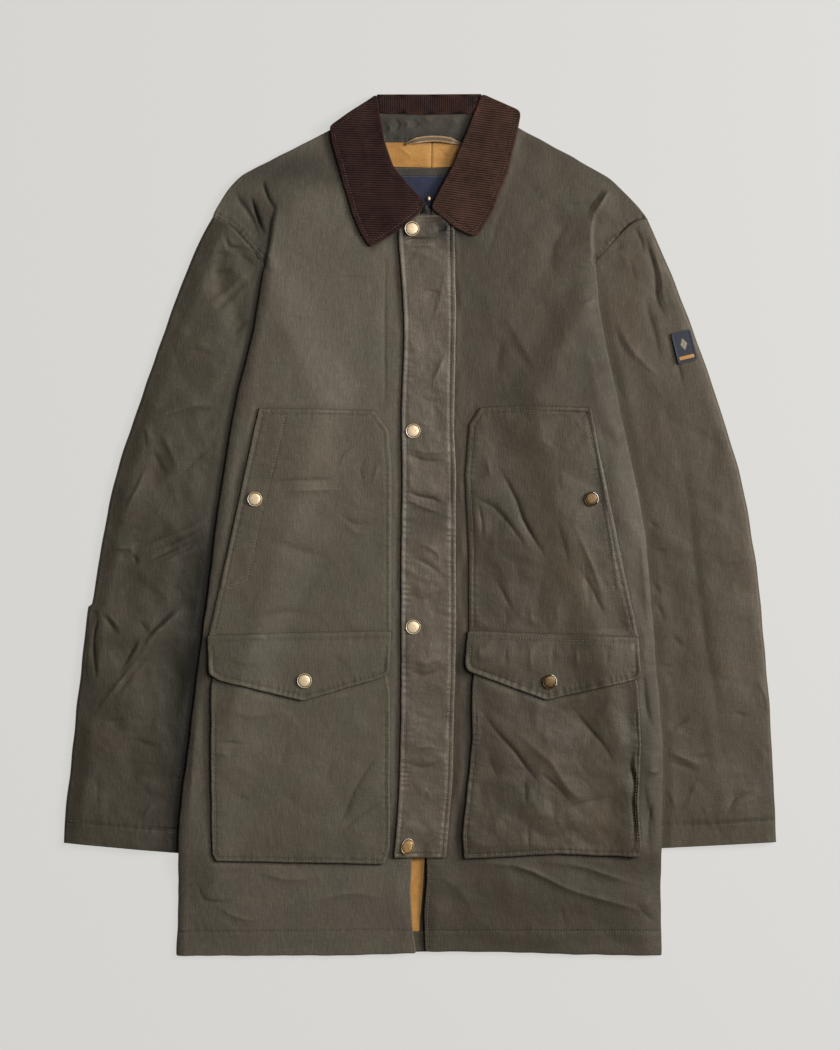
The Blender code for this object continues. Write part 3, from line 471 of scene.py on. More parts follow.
def fillFlat(outline, extra):
    # triangles that fill an outline through the extra points
    points = np.vstack([outline, extra]) if len(extra) else outline
    result = delaunay_2d_cdt([Vector(point) for point in points], [], [list(range(len(outline)))], 1, 1e-5)
    place = {}
    for new, old in enumerate(result[3]):
        for index in old:
            place[index] = new
    flat = np.array([(v.x, v.y) for v in result[0]])
    faces = np.array(list(result[2]))
    a, b, c = flat[faces[:, 0]], flat[faces[:, 1]], flat[faces[:, 2]]
    turn = (b[:, 0] - a[:, 0]) * (c[:, 1] - a[:, 1]) - (b[:, 1] - a[:, 1]) * (c[:, 0] - a[:, 0])
    faces[turn < 0] = faces[turn < 0][:, ::-1]
    return flat, faces[np.abs(turn) > 1e-9], [place[i] for i in range(len(outline))]


def farFrom(p, line, gap):
    far = np.ones(len(p), bool)
    near = nearTo(p, line, gap)
    if near.any():
        far[near] = distanceTo(p[near], line) > gap
    return far


def rowsBeside(line, offsets, step=1.7):
    # rows of points along a line, so that a groove or a shadow there is sharp
    run = runOf(line)
    even = pointsAt(np.arange(0.3 * step, run[-1], step), run, line)
    normal = sideways(even, False)
    return np.vstack([even + normal * offset for offset in offsets])


def spacedOut(points, gap):
    kept = set()
    rows = []
    for point in points:
        cell = (int(point[0] / gap), int(point[1] / gap))
        if cell not in kept:
            kept.add(cell)
            rows.append(point)
    return np.array(rows)


def within(p, outline, gap):
    # the points inside an outline that are further than the gap from its edge
    p = p[insideOf(p, outline)]
    return p[distanceTo(p, outline, True) > gap]


def clothSheet(name, outline, material, top, wall=2.0, spacing=2.0, edge=1.0, lip=0.0, rounding=1,
               covered=None, weave=None, underSpacing=14.0, wearAndShadeOf=None, rings=(), undercut=0.35,
               lines=(), toneOf=None, ragged=0.0):
    outline = evenly(outline, min(spacing, 2.0), rounding)
    inward = sideways(outline)
    outline = outline + inward * (ragged * latticeNoise(outline, 21.0, 3))[:, None]
    low, high = outline.min(axis=0), outline.max(axis=0)
    grid = flatPoints(low, high, spacing, weave)
    grid = grid[insideOf(grid, outline)]
    if covered is not None:
        under = covered(grid)
        thin = (np.arange(len(grid)) % 13) == 0
        grid = grid[~under | thin]
    depths = [0.18 * edge, 0.5 * edge, 1.1 * edge] + list(rings)
    grid = grid[distanceTo(grid, outline, True) > depths[-1] + 0.45 * spacing]
    rows = []
    for line, offsets in lines:
        grid = grid[farFrom(grid, line, max(np.abs(offsets)) + 0.5 * spacing)]
    if lines:
        beside = np.vstack([rowsBeside(line, offsets) for line, offsets in lines])
        gap = max(1.1 * edge + 0.4, rings[-1] + 0.5 if rings else 0.0)
        rows.append(spacedOut(within(beside, outline, gap), 0.55))
    for inset in depths:
        rows.append(within(outline + inward * inset, outline, 0.9 * inset))
    flat, faces, rim = fillFlat(outline, np.vstack(rows + [grid]))
    depth = distanceTo(flat, outline, True)
    depth[rim] = 0.0
    thick = wall if callable(wall) else lambda p, depth: np.full(len(p), wall)
    bow = 1.0 - np.clip(depth / edge, 0.0, 1.0)
    height = top(flat, depth) - 0.55 * thick(flat, depth) * (1.0 - np.sqrt(1.0 - bow * bow))
    wear = ridgeWearAndShade(height, faces) if wearAndShadeOf is None else wearAndShadeOf(flat)

    lowOutline = outline + inward * undercut * edge
    inner = within(outline + inward * (1.3 + edge), outline, 1.0 + edge)
    lowGrid = within(flatPoints(low, high, underSpacing), outline, 0.5 * underSpacing)
    lowFlat, lowFaces, lowRim = fillFlat(lowOutline, np.vstack([inner[::2], lowGrid]))
    lowDepth = distanceTo(lowFlat, outline, True)
    lowHeight = top(lowFlat, lowDepth) - thick(lowFlat, lowDepth) - lip * (1.0 - ease(0.2, 2.4, lowDepth))

    count = len(flat)
    points = np.vstack([np.column_stack([flat, height]), np.column_stack([lowFlat, lowHeight])])
    allFaces = faces.tolist() + (lowFaces[:, ::-1] + count).tolist()
    for i in range(len(rim)):
        j = (i + 1) % len(rim)
        allFaces.append((rim[j], rim[i], lowRim[i] + count, lowRim[j] + count))
    wear = np.concatenate([wear, np.zeros(len(lowFlat))])
    tone = np.zeros(len(points))
    if toneOf is not None:
        tone[:count] = toneOf(flat, depth)
        # painted shade on the underside and down the rim
        tone[count:] = -0.4
    return makePiece(name, points, allFaces, [material], wear, tone=tone)


def planArea(outline):
    x, y = np.asarray(outline, float).T
    return abs(np.sum(x * np.roll(y, -1) - y * np.roll(x, -1))) * 0.5e-6


sheets = []     # every sheet of cloth with its flat size, area and what it rests on


def asSheet(piece, slotName, node, width, length, area, restsOn):
    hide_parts(node)
    width, length = round(float(width), 4), round(float(length), 4)
    area = round(float(np.clip(area, 0.31 * width * length, width * length)), 6)
    sheets.append((piece, (width, length), area, restsOn))


def asCloth(piece, outline, slotName, node, restsOn):
    width, length = (np.max(outline, axis=0) - np.min(outline, axis=0)) * mm
    asSheet(piece, slotName, node, width, length, planArea(outline), restsOn)


def declareSheets():
    for piece, flat, area, restsOn in sheets:
        onIt = (piece.name + "Stitches", *trims.get(piece.name, ()))
        onIt = [name for name in onIt if name in bpy.data.objects]
        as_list(restsOn)


# ---- materials

def setInputs(node, numbers):
    for socket, number in numbers.items():
        node.inputs[socket].default_value = number


def newMaterial(name):
    material = bpy.data.materials.new(name)
    material.use_nodes = True
    return material, material.node_tree, material.node_tree.nodes["Principled BSDF"]


def screenColour(*colour):
    # from the numbers of a screen colour to Blender's
    return tuple(v / 255 / 12.92 if v <= 10 else ((v / 255 + 0.055) / 1.055) ** 2.4 for v in colour) + (1.0,)


def noiseNode(tree, scale, detail=2.0, stretch=(1.0, 1.0, 1.0), rough=0.5):
    coords = tree.nodes.new("ShaderNodeTexCoord")
    mapping = tree.nodes.new("ShaderNodeMapping")
    setInputs(mapping, {"Scale": stretch})
    noise = tree.nodes.new("ShaderNodeTexNoise")
    setInputs(noise, {"Scale": scale, "Detail": detail, "Roughness": rough})
    tree.links.new(coords.outputs["Object"], mapping.inputs["Vector"])
    tree.links.new(mapping.outputs["Vector"], noise.inputs["Vector"])
    return noise.outputs["Fac"]


def spreadTo(tree, value, fromLow, fromHigh, toLow, toHigh):
    node = tree.nodes.new("ShaderNodeMapRange")
    setInputs(node, {"From Min": fromLow, "From Max": fromHigh, "To Min": toLow, "To Max": toHigh})
    tree.links.new(value, node.inputs["Value"])
    return node.outputs["Result"]


def swing(tree, value, amount, low=0.25, high=0.75):
    # a noise made to run evenly below and above zero
    return spreadTo(tree, value, low, high, -amount, amount)


def attributeOf(tree, key):
    node = tree.nodes.new("ShaderNodeAttribute")
    node.attribute_name = key
    return node.outputs["Fac"]


def addUp(tree, *values):
    total = values[0]
    for value in values[1:]:
        node = tree.nodes.new("ShaderNodeMath")
        node.operation = "ADD"
        tree.links.new(total, node.inputs[0])
        tree.links.new(value, node.inputs[1])
        total = node.outputs["Value"]
    return total


def tinted(tree, value, stops):
    ramp = tree.nodes.new("ShaderNodeValToRGB")
    while len(ramp.color_ramp.elements) < len(stops):
        ramp.color_ramp.elements.new(0.5)
    for element, (place, colour) in zip(ramp.color_ramp.elements, stops):
        element.position = place
        element.color = screenColour(*colour)
    tree.links.new(value, ramp.inputs["Fac"])
    return ramp.outputs["Color"]


def bumped(tree, shader, value, strength, distance):
    bump = tree.nodes.new("ShaderNodeBump")
    setInputs(bump, {"Strength": strength, "Distance": distance})
    tree.links.new(value, bump.inputs["Height"])
    tree.links.new(bump.outputs["Normal"], shader.inputs["Normal"])


def wearAndShadeValue(tree, reach, amount):
    # paler on worn ridges, and darker in the hollows as painted shade
    return swing(tree, attributeOf(tree, "wear"), amount, -reach, reach)


def toned(tree, colour):
    # darker or paler by the piece's tone attribute, which carries most of the painted light and shade
    scaled = tree.nodes.new("ShaderNodeVectorMath")
    scaled.operation = "SCALE"
    tree.links.new(colour, scaled.inputs[0])
    tree.links.new(spreadTo(tree, attributeOf(tree, "tone"), -1.0, 1.0, 0.0, 2.0), scaled.inputs["Scale"])
    return scaled.outputs["Vector"]


def shaded(colour, factor):
    return tuple(min(255, value * factor) for value in colour)


def waxedCotton(name, plain, rough=0.58, coat=0.0, mottle=0.1, glint=0.0):
    material, tree, shader = newMaterial(name)
    cloud = swing(tree, noiseNode(tree, 8.0, 3.0), mottle)
    smudge = swing(tree, noiseNode(tree, 60.0, 4.0, rough=0.65), 0.6 * mottle)
    warp = swing(tree, noiseNode(tree, 1.0, 2.0, (620.0, 110.0, 400.0)), 0.2)
    weft = swing(tree, noiseNode(tree, 1.0, 2.0, (110.0, 620.0, 400.0)), 0.08)
    grain = swing(tree, noiseNode(tree, 760.0, 1.0), 0.16)
    wear = wearAndShadeValue(tree, 0.3, 0.12)
    total = spreadTo(tree, addUp(tree, cloud, smudge, warp, weft, grain, wear), -1.0, 1.0, 0.0, 1.0)
    colour = tinted(tree, total, ((0.0, shaded(plain, 0.62)), (0.5, plain), (1.0, shaded(plain, 1.38))))
    # patches that lean a little to red or to green
    drift = tree.nodes.new("ShaderNodeMix")
    drift.data_type = "RGBA"
    drift.blend_type = "MULTIPLY"
    setInputs(drift, {"Factor": 1.0})
    hue = tree.nodes.new("ShaderNodeValToRGB")
    stops = ((0.32, (0.97, 1.015, 0.98, 1.0)), (0.68, (1.04, 0.99, 0.96, 1.0)))
    for element, (place, lean) in zip(hue.color_ramp.elements, stops):
        element.position, element.color = place, lean
    tree.links.new(noiseNode(tree, 26.0, 3.0), hue.inputs["Fac"])
    tree.links.new(colour, drift.inputs["A"])
    tree.links.new(hue.outputs["Color"], drift.inputs["B"])
    tree.links.new(toned(tree, drift.outputs["Result"]), shader.inputs["Base Color"])
    polish = addUp(tree, cloud, smudge, smudge, wear)
    gloss = spreadTo(tree, polish, -0.4, 0.4, rough + 0.08 + glint, rough - 0.08 - glint)
    tree.links.new(gloss, shader.inputs["Roughness"])
    setInputs(shader, {"Specular IOR Level": 0.36, "Specular Tint": screenColour(255, 247, 232),
                       "Sheen Weight": 0.06, "Sheen Roughness": 0.45, "Coat Weight": coat,
                       "Sheen Tint": screenColour(190, 182, 160), "Coat Roughness": 0.36})
    fineCrease = noiseNode(tree, 110.0, 5.0, rough=0.62)
    relief = addUp(tree, warp, weft, grain, spreadTo(tree, fineCrease, 0.0, 1.0, 0.0, 1.4))
    bumped(tree, shader, relief, 0.6, 0.0004)
    return material


def plainCloth(name, deep, plain, pale, rough=0.7, fine=1300.0, sheen=0.1, bump=0.35):
    material, tree, shader = newMaterial(name)
    warp = swing(tree, noiseNode(tree, 1.0, 1.0, (fine, fine * 0.12, 400.0)), 0.16, 0.2, 0.8)
    weft = swing(tree, noiseNode(tree, 1.0, 1.0, (fine * 0.12, fine, 400.0)), 0.16, 0.2, 0.8)
    cloud = swing(tree, noiseNode(tree, 40.0, 3.0), 0.2)
    wear = wearAndShadeValue(tree, 0.2, 0.3)
    total = spreadTo(tree, addUp(tree, warp, weft, cloud, wear), -0.6, 0.6, 0.0, 1.0)
    colour = tinted(tree, total, ((0.1, deep), (0.5, plain), (0.9, pale)))
    tree.links.new(toned(tree, colour), shader.inputs["Base Color"])
    setInputs(shader, {"Roughness": rough, "Sheen Weight": sheen})
    bumped(tree, shader, addUp(tree, warp, weft), bump, 0.0003)
    return material


def corduroyCloth(name, deep, plain, pale):
    # the wales are in the mesh; the pile between and on them is here, with painted shade in the grooves and
    # painted light on the ridges
    material, tree, shader = newMaterial(name)
    pile = swing(tree, noiseNode(tree, 900.0, 4.0, rough=0.7), 0.3)
    brushed = swing(tree, noiseNode(tree, 46.0, 4.0, (1.0, 1.4, 1.0), 0.62), 0.27, 0.3, 0.7)
    wear = wearAndShadeValue(tree, 0.3, 0.82)
    total = spreadTo(tree, addUp(tree, pile, brushed, wear), -0.9, 0.9, 0.0, 1.0)
    colour = tinted(tree, total, ((0.08, deep), (0.5, plain), (0.95, pale)))
    tree.links.new(toned(tree, colour), shader.inputs["Base Color"])
    setInputs(shader, {"Roughness": 0.92, "Specular IOR Level": 0.2, "Sheen Weight": 0.55,
                       "Sheen Roughness": 0.35, "Sheen Tint": screenColour(150, 104, 92)})
    bumped(tree, shader, pile, 0.5, 0.0004)
    return material


def agedBrass(name, deep, plain, bright, rough=0.34, metal=0.9):
    material, tree, shader = newMaterial(name)
    cloud = swing(tree, noiseNode(tree, 420.0, 4.0, rough=0.6), 0.3)
    wear = wearAndShadeValue(tree, 0.1, 0.4)
    total = spreadTo(tree, addUp(tree, cloud, wear), -0.6, 0.6, 0.0, 1.0)
    colour = tinted(tree, total, ((0.1, deep), (0.5, plain), (0.9, bright)))
    tree.links.new(colour, shader.inputs["Base Color"])
    setInputs(shader, {"Metallic": metal})
    tree.links.new(spreadTo(tree, cloud, -0.3, 0.3, rough + 0.1, rough - 0.06), shader.inputs["Roughness"])
    bumped(tree, shader, noiseNode(tree, 1200.0, 3.0), 0.35, 0.0002)
    return material


# copies of one waxed cotton, lighter and darker piece by piece; the colour differences between them are
# painted light and shade
waxedChestRight = waxedCotton("waxedChestRight", (84, 78, 69))
waxedChestLeft = waxedCotton("waxedChestLeft", (62, 56, 48))
waxedPocketRight = waxedCotton("waxedPocketRight", (78, 72, 62))
waxedPocketLeft = waxedCotton("waxedPocketLeft", (63, 56, 47), 0.5, 0.08)
waxedSleeveRight = waxedCotton("waxedSleeveRight", (65, 60, 51))
waxedSleeveLeft = waxedCotton("waxedSleeveLeft", (66, 59, 50))
waxedStorm = waxedCotton("waxedStormFlap", (80, 72, 63), 0.46, 0.2, 0.14, 0.06)
waxedBack = waxedCotton("waxedBack", (66, 60, 50))
facingCloth = plainCloth("facingCloth", (37, 31, 23), (50, 44, 33), (66, 58, 45))
liningCloth = plainCloth("mustardLining", (147, 98, 38), (171, 121, 53), (190, 140, 69), 0.62)
labelCloth = plainCloth("navyLabel", (8, 12, 30), (15, 22, 50), (26, 35, 68), 0.7, 1800.0, 0.02)
patchCloth = plainCloth("navyPatch", (22, 25, 34), (34, 38, 50), (54, 60, 74), 0.75, 1800.0)
mustardThread = plainCloth("mustardThread", (120, 82, 36), (168, 120, 60), (196, 150, 88), 0.6, 2600.0)
dimThread = plainCloth("dimThread", (80, 76, 66), (120, 114, 98), (150, 142, 124), 0.6, 2600.0)
corduroy = corduroyCloth("brownCorduroy", (8, 4, 3), (28, 15, 13), (57, 36, 31))
# a paler copy of the corduroy for the left leaf: painted light
corduroyLit = corduroyCloth("brownCorduroyLeft", (11, 5, 4), (38, 23, 18), (71, 48, 40))
tanTape = plainCloth("tanTape", (110, 82, 54), (158, 122, 84), (190, 156, 116), 0.6, 2000.0)
oliveTape = plainCloth("oliveTape", (54, 48, 36), (84, 75, 56), (110, 99, 76), 0.6, 2000.0)
zipTape = plainCloth("zipTape", (20, 19, 17), (34, 32, 28), (50, 47, 41), 0.6, 2000.0)
oliveThread = plainCloth("oliveThread", (66, 61, 51), (104, 97, 83), (136, 128, 110), 0.6, 2600.0)
paleThread = plainCloth("paleThread", (100, 94, 80), (140, 132, 114), (170, 162, 142), 0.6, 2600.0)
brownThread = plainCloth("brownThread", (54, 38, 32), (92, 68, 58), (126, 98, 84), 0.6, 2600.0)
# copies of one brass at three brightnesses, snap by snap: the differences are painted reflection and shade
brightBrass = agedBrass("brightBrass", (182, 156, 120), (220, 196, 160), (240, 226, 202), 0.36, 0.3)
halfLitBrass = agedBrass("halfLitBrass", (122, 94, 58), (186, 148, 98), (228, 196, 148), 0.38, 0.4)
darkBrass = agedBrass("darkBrass", (50, 37, 18), (86, 64, 33), (118, 93, 56), 0.36, 0.5)
# a painted highlight for the side of each snap's rim towards the light
rimHighlightBrass = agedBrass("rimHighlightBrass", (206, 194, 170), (232, 224, 206), (250, 246, 238), 0.32, 0.2)
# painted shade for the groove of each snap
grooveShadeBrass = agedBrass("grooveShadeBrass", (18, 13, 8), (40, 30, 18), (80, 62, 38), 0.55)
# near black: painted shade on the zip slider under the collar
shadedSliderBrass = agedBrass("shadedSliderBrass", (8, 7, 5), (18, 15, 10), (44, 36, 24), 0.6, 0.3)
print("jacket: materials made")


# ---- what lies over the body

stormFlap = {
    "rows": ((757, -23, 35), (717, -21, 35.7), (645, -16.5, 36.7), (554, -19, 35), (488, -18.4, 36.7),
             (405, -19.4, 36.7), (323, -19.4, 36.7), (245, -19.6, 35), (178, -21.4, 33),
             (139, -23.5, 30), (101, -27, 26.5)),     # up, free edge, seam
    # patches of painted shade and painted light
    "shades": ((21, 745, 18, 14, -0.34), (8, 670, 14, 50, 0.12), (31, 731, 9, 14, -0.5),
               (23, 744, 10, 8, -0.5), (10, 744, 16, 10, -0.2), (12, 452, 26, 20, -0.3)),
    "creases": (
        ((-16, 478, -3, 470, 13, 467, 29, 458), 4, -1.2), ((-16, 469, -2, 461, 27, 451), 4, 0.9),
        ((-14, 514, 5, 506, 29, 506), 5, -0.9), ((-16, 521, 4, 515, 30, 515), 4, 0.7),
        ((-3, 423, 17, 413, 20, 399), 4, 0.6), ((-10, 409, 10, 399, 27, 385), 4, -0.6),
        ((-16, 378, 0, 364, 30, 374), 7, -0.6), ((-16, 295, 5, 287, 30, 299), 7, -0.8),
        ((-16, 305, 5, 299, 29, 309), 5, 0.5), ((-15, 209, 8, 215, 29, 209), 4, 0.6),
        ((-16, 199, 4, 193, 27, 201), 6, -0.8), ((-3, 160, 6, 170, 12, 156), 3, 0.5),
        ((-19, 729, -7, 732, 4, 732, 18, 733), 2.2, -1.9), ((-5, 752, 8, 752, 23, 753), 1.8, -1.4),
        ((14, 740, 30, 745), 3, -1), ((-16, 725, 6, 726, 20, 727), 3, 0.8),
        ((-12, 670, 4, 680, 27, 674), 4, -0.5), ((10, 640, 20, 670, 26, 701), 5, 0.5),
        ((10, 580, 18, 597, 27, 619), 3, 0.6), ((-2, 576, 10, 566, 29, 570), 4, -0.5),
        ((20, 124, 8, 117, -2, 109), 3, -0.5),),
}
handPockets = {
    "outlines": {
        "right": ((-164, 560), (-47, 558), (-32, 537.5), (-29, 500), (-29, 324), (-216.5, 324)),
        "left": ((174, 560.5), (98, 563), (60.5, 560.5), (49.7, 543), (45.6, 491), (49.5, 414),
                 (49.5, 324), (223.5, 324), (205.5, 406))},
    "mouths": {"right": np.array(((-164.0, 560.0), (-202.0, 378.0))),
               "left": np.array(((174.0, 560.5), (201.5, 378.0)))},
    "tacks": {"right": ((-156, 556.5, 0.0), (-194.5, 376.5, 0.0), (-211.0, 329.5, 0.0)),
              "left": ((168, 556.5, 0.0), (196.0, 377.5, -0.1))},     # place and turn
    # patches of painted shade and painted light
    "shades": {"right": ((-195, 360, 12, 70, 0.18), (-176, 415, 12, 55, 0.18)),
               "left": ((96, 412, 20, 60, -0.24), (135, 468, 16, 45, 0.3), (152, 398, 22, 48, 0.5),
                        (188, 441, 14, 60, -0.34), (77, 440, 15, 70, -0.26), (71, 345, 14, 30, -0.28),
                        (212, 345, 12, 25, -0.36), (143, 340, 30, 30, 0.12), (117, 505, 14, 35, 0.28),
                        (172, 350, 16, 30, 0.24))},
    "right": (
        ((-153, 484, -121, 486, -82, 487), 5, -1.1), ((-151, 476, -117, 476, -71, 478), 5, 0.7),
        ((-145, 508, -124, 506), 3, -0.4), ((-172, 504, -149, 504), 3, 0.4),
        ((-86, 455, -65, 441, -42, 447), 5, -0.7), ((-82, 448, -63, 432, -37, 436), 4, 0.5),
        ((-192, 415, -176, 423), 3, 0.6), ((-196, 374, -181, 391), 3, 0.5),
        ((-160, 427, -124, 415, -86, 403), 12, -0.7), ((-58, 525, -78, 510, -82, 494), 3, 0.5),
        ((-50, 515, -61, 497, -55, 476), 3, -0.4), ((-42, 505, -49, 480), 3, 0.4),
        ((-196, 337, -137, 352, -92, 344), 8, -0.5),),
    "left": (
        ((78, 503, 89, 484, 99, 464, 105, 446, 120, 420, 135, 399), 3, -1.6),
        ((48, 479, 61, 466, 76, 458, 95, 436, 113, 409), 4, -1),
        ((58, 468, 63, 446, 63, 423), 2, -0.8), ((138, 448, 148, 415, 151, 393), 5, -0.8),
        ((158, 402, 173, 379, 190, 344), 4, -0.8), ((76, 387, 86, 369, 95, 349), 4, -0.7),
        ((68, 512, 72, 487), 4, 0.6), ((140, 498, 144, 470), 4, -0.6),
        ((151, 455, 178, 392, 191, 352), 6, 0.9), ((112, 367, 115, 333), 4, 0.5),
        ((166, 411, 174, 352), 4, -0.5), ((87, 364, 89, 334), 4, -0.4), ((139, 364, 141, 332), 4, 0.4),),
}
cargoPockets = {
    "outlines": {
        "right": ((-206, 312), (-38, 312), (-30.6, 271), (-30.6, 111), (-36, 94.5), (-208, 98),
                  (-212, 106), (-213.2, 192), (-213, 276)),
        "left": ((216, 312), (56, 312), (52.5, 270), (53, 222), (50, 192), (43, 125), (44.5, 100),
                 (140, 105), (223, 102), (226, 112), (223, 152), (225.5, 218), (222.5, 276))},
    # patches of painted shade and painted light
    "shades": {"right": ((-108, 208, 44, 52, 0.13),),
               "left": ((176, 191, 18, 80, 0.34), (190, 160, 16, 45, 0.42), (214, 195, 10, 70, -0.5),
                        (74, 242, 12, 20, -0.1), (133, 194, 12, 16, 0.34), (112, 220, 12, 12, 0.28),
                        (112, 177, 12, 12, -0.2), (153, 214, 12, 20, -0.22))},
    "right": (
        ((-42, 210, -65, 174, -78, 143, -90, 128), 5, -1.1), ((-35, 162, -58, 147, -86, 123), 4, -0.8),
        ((-90, 210, -97, 170), 12, -0.6), ((-212, 234, -196, 232), 2.5, 0.5),
        ((-212, 220, -184, 218, -176, 214), 3, -0.6), ((-212, 208, -192, 207), 3, 0.5),
        ((-194, 168, -175, 160, -161, 168), 8, -0.5), ((-202, 262, -173, 246, -133, 254), 8, 0.6),),
    "left": (
        ((59, 257, 76, 232, 95, 211, 112, 188, 131, 167), 4, -1.4),
        ((85, 242, 119, 211, 134, 198, 153, 170, 188, 145), 9, 1.2),
        ((151, 259, 173, 232, 189, 213, 201, 189), 4, -1.1), ((120, 191, 143, 170, 156, 154), 4, -0.9),
        ((147, 153, 173, 159, 199, 165), 4, -0.8), ((107, 183, 108, 152), 3, -0.7),
        ((110, 138, 111, 107), 3, -0.6), ((68, 209, 80, 178), 6, -0.8),
        ((219, 226, 214, 196, 218, 178, 216, 160, 218, 138, 218, 99), 2.4, -1.8),
        ((222, 226, 219, 196, 222, 178, 220, 160, 222, 140, 221, 99), 1.8, 1.2),
        ((59, 262, 57, 201), 4, 0.6),),
}
pocketFlaps = {
    "outlines": {
        "right": ((-217, 328.5), (-29, 332.5), (-31.8, 289), (-40, 284.7), (-119.3, 261.5),
                  (-204, 282), (-215, 289)),
        "left": ((223, 326.5), (48, 333), (45.6, 298), (48.5, 291.7), (128.9, 262), (222, 283.5),
                 (224.8, 289))},
    "right": (
        ((-196, 315, -184, 301, -161, 303), 6, 0.5), ((-92, 308, -71, 295), 5, -0.4),),
    "left": (
        ((60, 323, 61, 299), 4, 0.6), ((88, 323, 87, 293), 4, -0.6), ((112, 323, 113, 287), 4, 0.6),
        ((136, 321, 135, 295), 4, -0.5), ((159, 322, 160, 291), 4, 0.6),
        ((191, 321, 190, 297), 4, -0.5),),
}
collarLeaves = {
    "right": ((880.4, -45, -44.9), (876.8, -49.5, -43.2), (861, -74, -41.2), (847.6, -92.4, -38.8),
              (833, -90.8, -36.4), (807, -83.6, -27.5), (786, -77.8, -10.7), (769, -72.5, 5.9),
              (759, -69.8, 0.4), (740, -61.7, -22.7), (726.5, -53.6, -44.9), (723.8, -51.2, -50.8)),
    "left": ((880.9, 64, 63.9), (876.8, 73, 60.6), (864, 101.6, 56.8), (860.4, 102.9, 54.6),
             (844, 100, 48.7), (830, 96.7, 42.8), (807, 91.2, 33.3), (799, 89.3, 28.9),
             (768.9, 77.2, 12.8), (763, 75, 11.2), (758, 72.8, 18), (744, 64.5, 34.7),
             (736, 59.2, 51), (734.7, 56, 53.8)),     # up, outer edge, inner edge
}


def stormLines():
    # its free edge and its seam, upwards
    return [smoothLine([(row[column], row[0]) for row in stormFlap["rows"]], 6.0) for column in (1, 2)]


def stormOutline():
    free, seam = stormLines()
    return joined(free, seam[::-1])


def leafOutline(side):
    rows = collarLeaves[side]
    return joined([(row[1], row[0]) for row in rows], [(row[2], row[0]) for row in rows[::-1]])


def awayFrom(p, outlines, reach=7.0):
    # how far outside the pieces that lie on top a point is: 0 under them, reach at most
    away = np.full(len(p), reach)
    for outline in outlines:
        outline = np.array(outline, float)
        near = nearTo(p, outline, reach)
        if near.any():
            found = np.where(insideOf(p[near], outline), 0.0, distanceTo(p[near], outline, True))
            away[near] = np.minimum(away[near], found)
    return away


def coverShare(p, outlines, reach=7.0):
    return 1.0 - ease(0.0, reach, awayFrom(p, outlines, reach))


def contactShadeTone(p, outlines, dark=0.42, reach=1.1):
    # painted shade in the crevice beside a piece that lies on top
    return -dark * np.exp(-awayFrom(p, outlines) / reach)


def closedLine(outline, step=4.0):
    loop = evenly(np.array(outline, float), step)
    return np.vstack([loop, loop[:1]])


def contactRows(outlines):
    return [(closedLine(outline), (-0.4, -1.5)) for outline in outlines]


def stitchRows(lines):
    return [(line, (-0.9, 0.0, 0.9)) for line in lines]


def deepUnder(outlines, margin=7.0):
    # picks the points that lie well under the pieces on top, where the mesh can be coarse
    def test(p):
        hidden = np.zeros(len(p), bool)
        for outline in outlines:
            outline = np.array(outline, float)
            near = nearTo(p, outline, 0.0)
            picked = np.zeros(len(p), bool)
            picked[near] = insideOf(p[near], outline)
            index = np.flatnonzero(picked)
            if len(index):
                deep = distanceTo(p[index], outline, True) > margin
                hidden[index[deep]] = True
        return hidden
    return test


def insetLine(line, amount):
    line = np.array(line, float)
    return line + sideways(line, False) * amount


def stepLine(corners, step=6.0):
    corners = np.array(corners, float)
    out = [corners[0]]
    for a, b in zip(corners[:-1], corners[1:]):
        parts = max(1, round(math.dist(a, b) / step))
        out += [a + (b - a) * k / parts for k in range(1, parts + 1)]
    return np.array(out)


sewing = {}     # for each piece its rows of stitches: line, height over it and pitch
trims = {"collarStandBand": ("hangerLoopTape",)}


def sewAlong(pieceName, line, heightOf, pitch=2.9, pale=False):
    sewing.setdefault(pieceName, []).append((np.array(line, float), heightOf, pitch, pale))


def wellInside(top, lift=0.0):
    # the height of a piece away from its edges, for the stitches on it
    return lambda p: top(p, np.full(len(p), 20.0)) + lift


def barTack(pieceName, centre, turn, heightOf, length=7.0):
    x, up = centre
    c, s = math.cos(turn), math.sin(turn)
    for aside in (-0.7, 0.0, 0.7):
        ends = [(x + c * t - s * aside, up + s * t + c * aside) for t in (-0.5 * length, 0.5 * length)]
        sewAlong(pieceName, stepLine(ends), heightOf, 1.5, aside == 0.0)


# ---- back

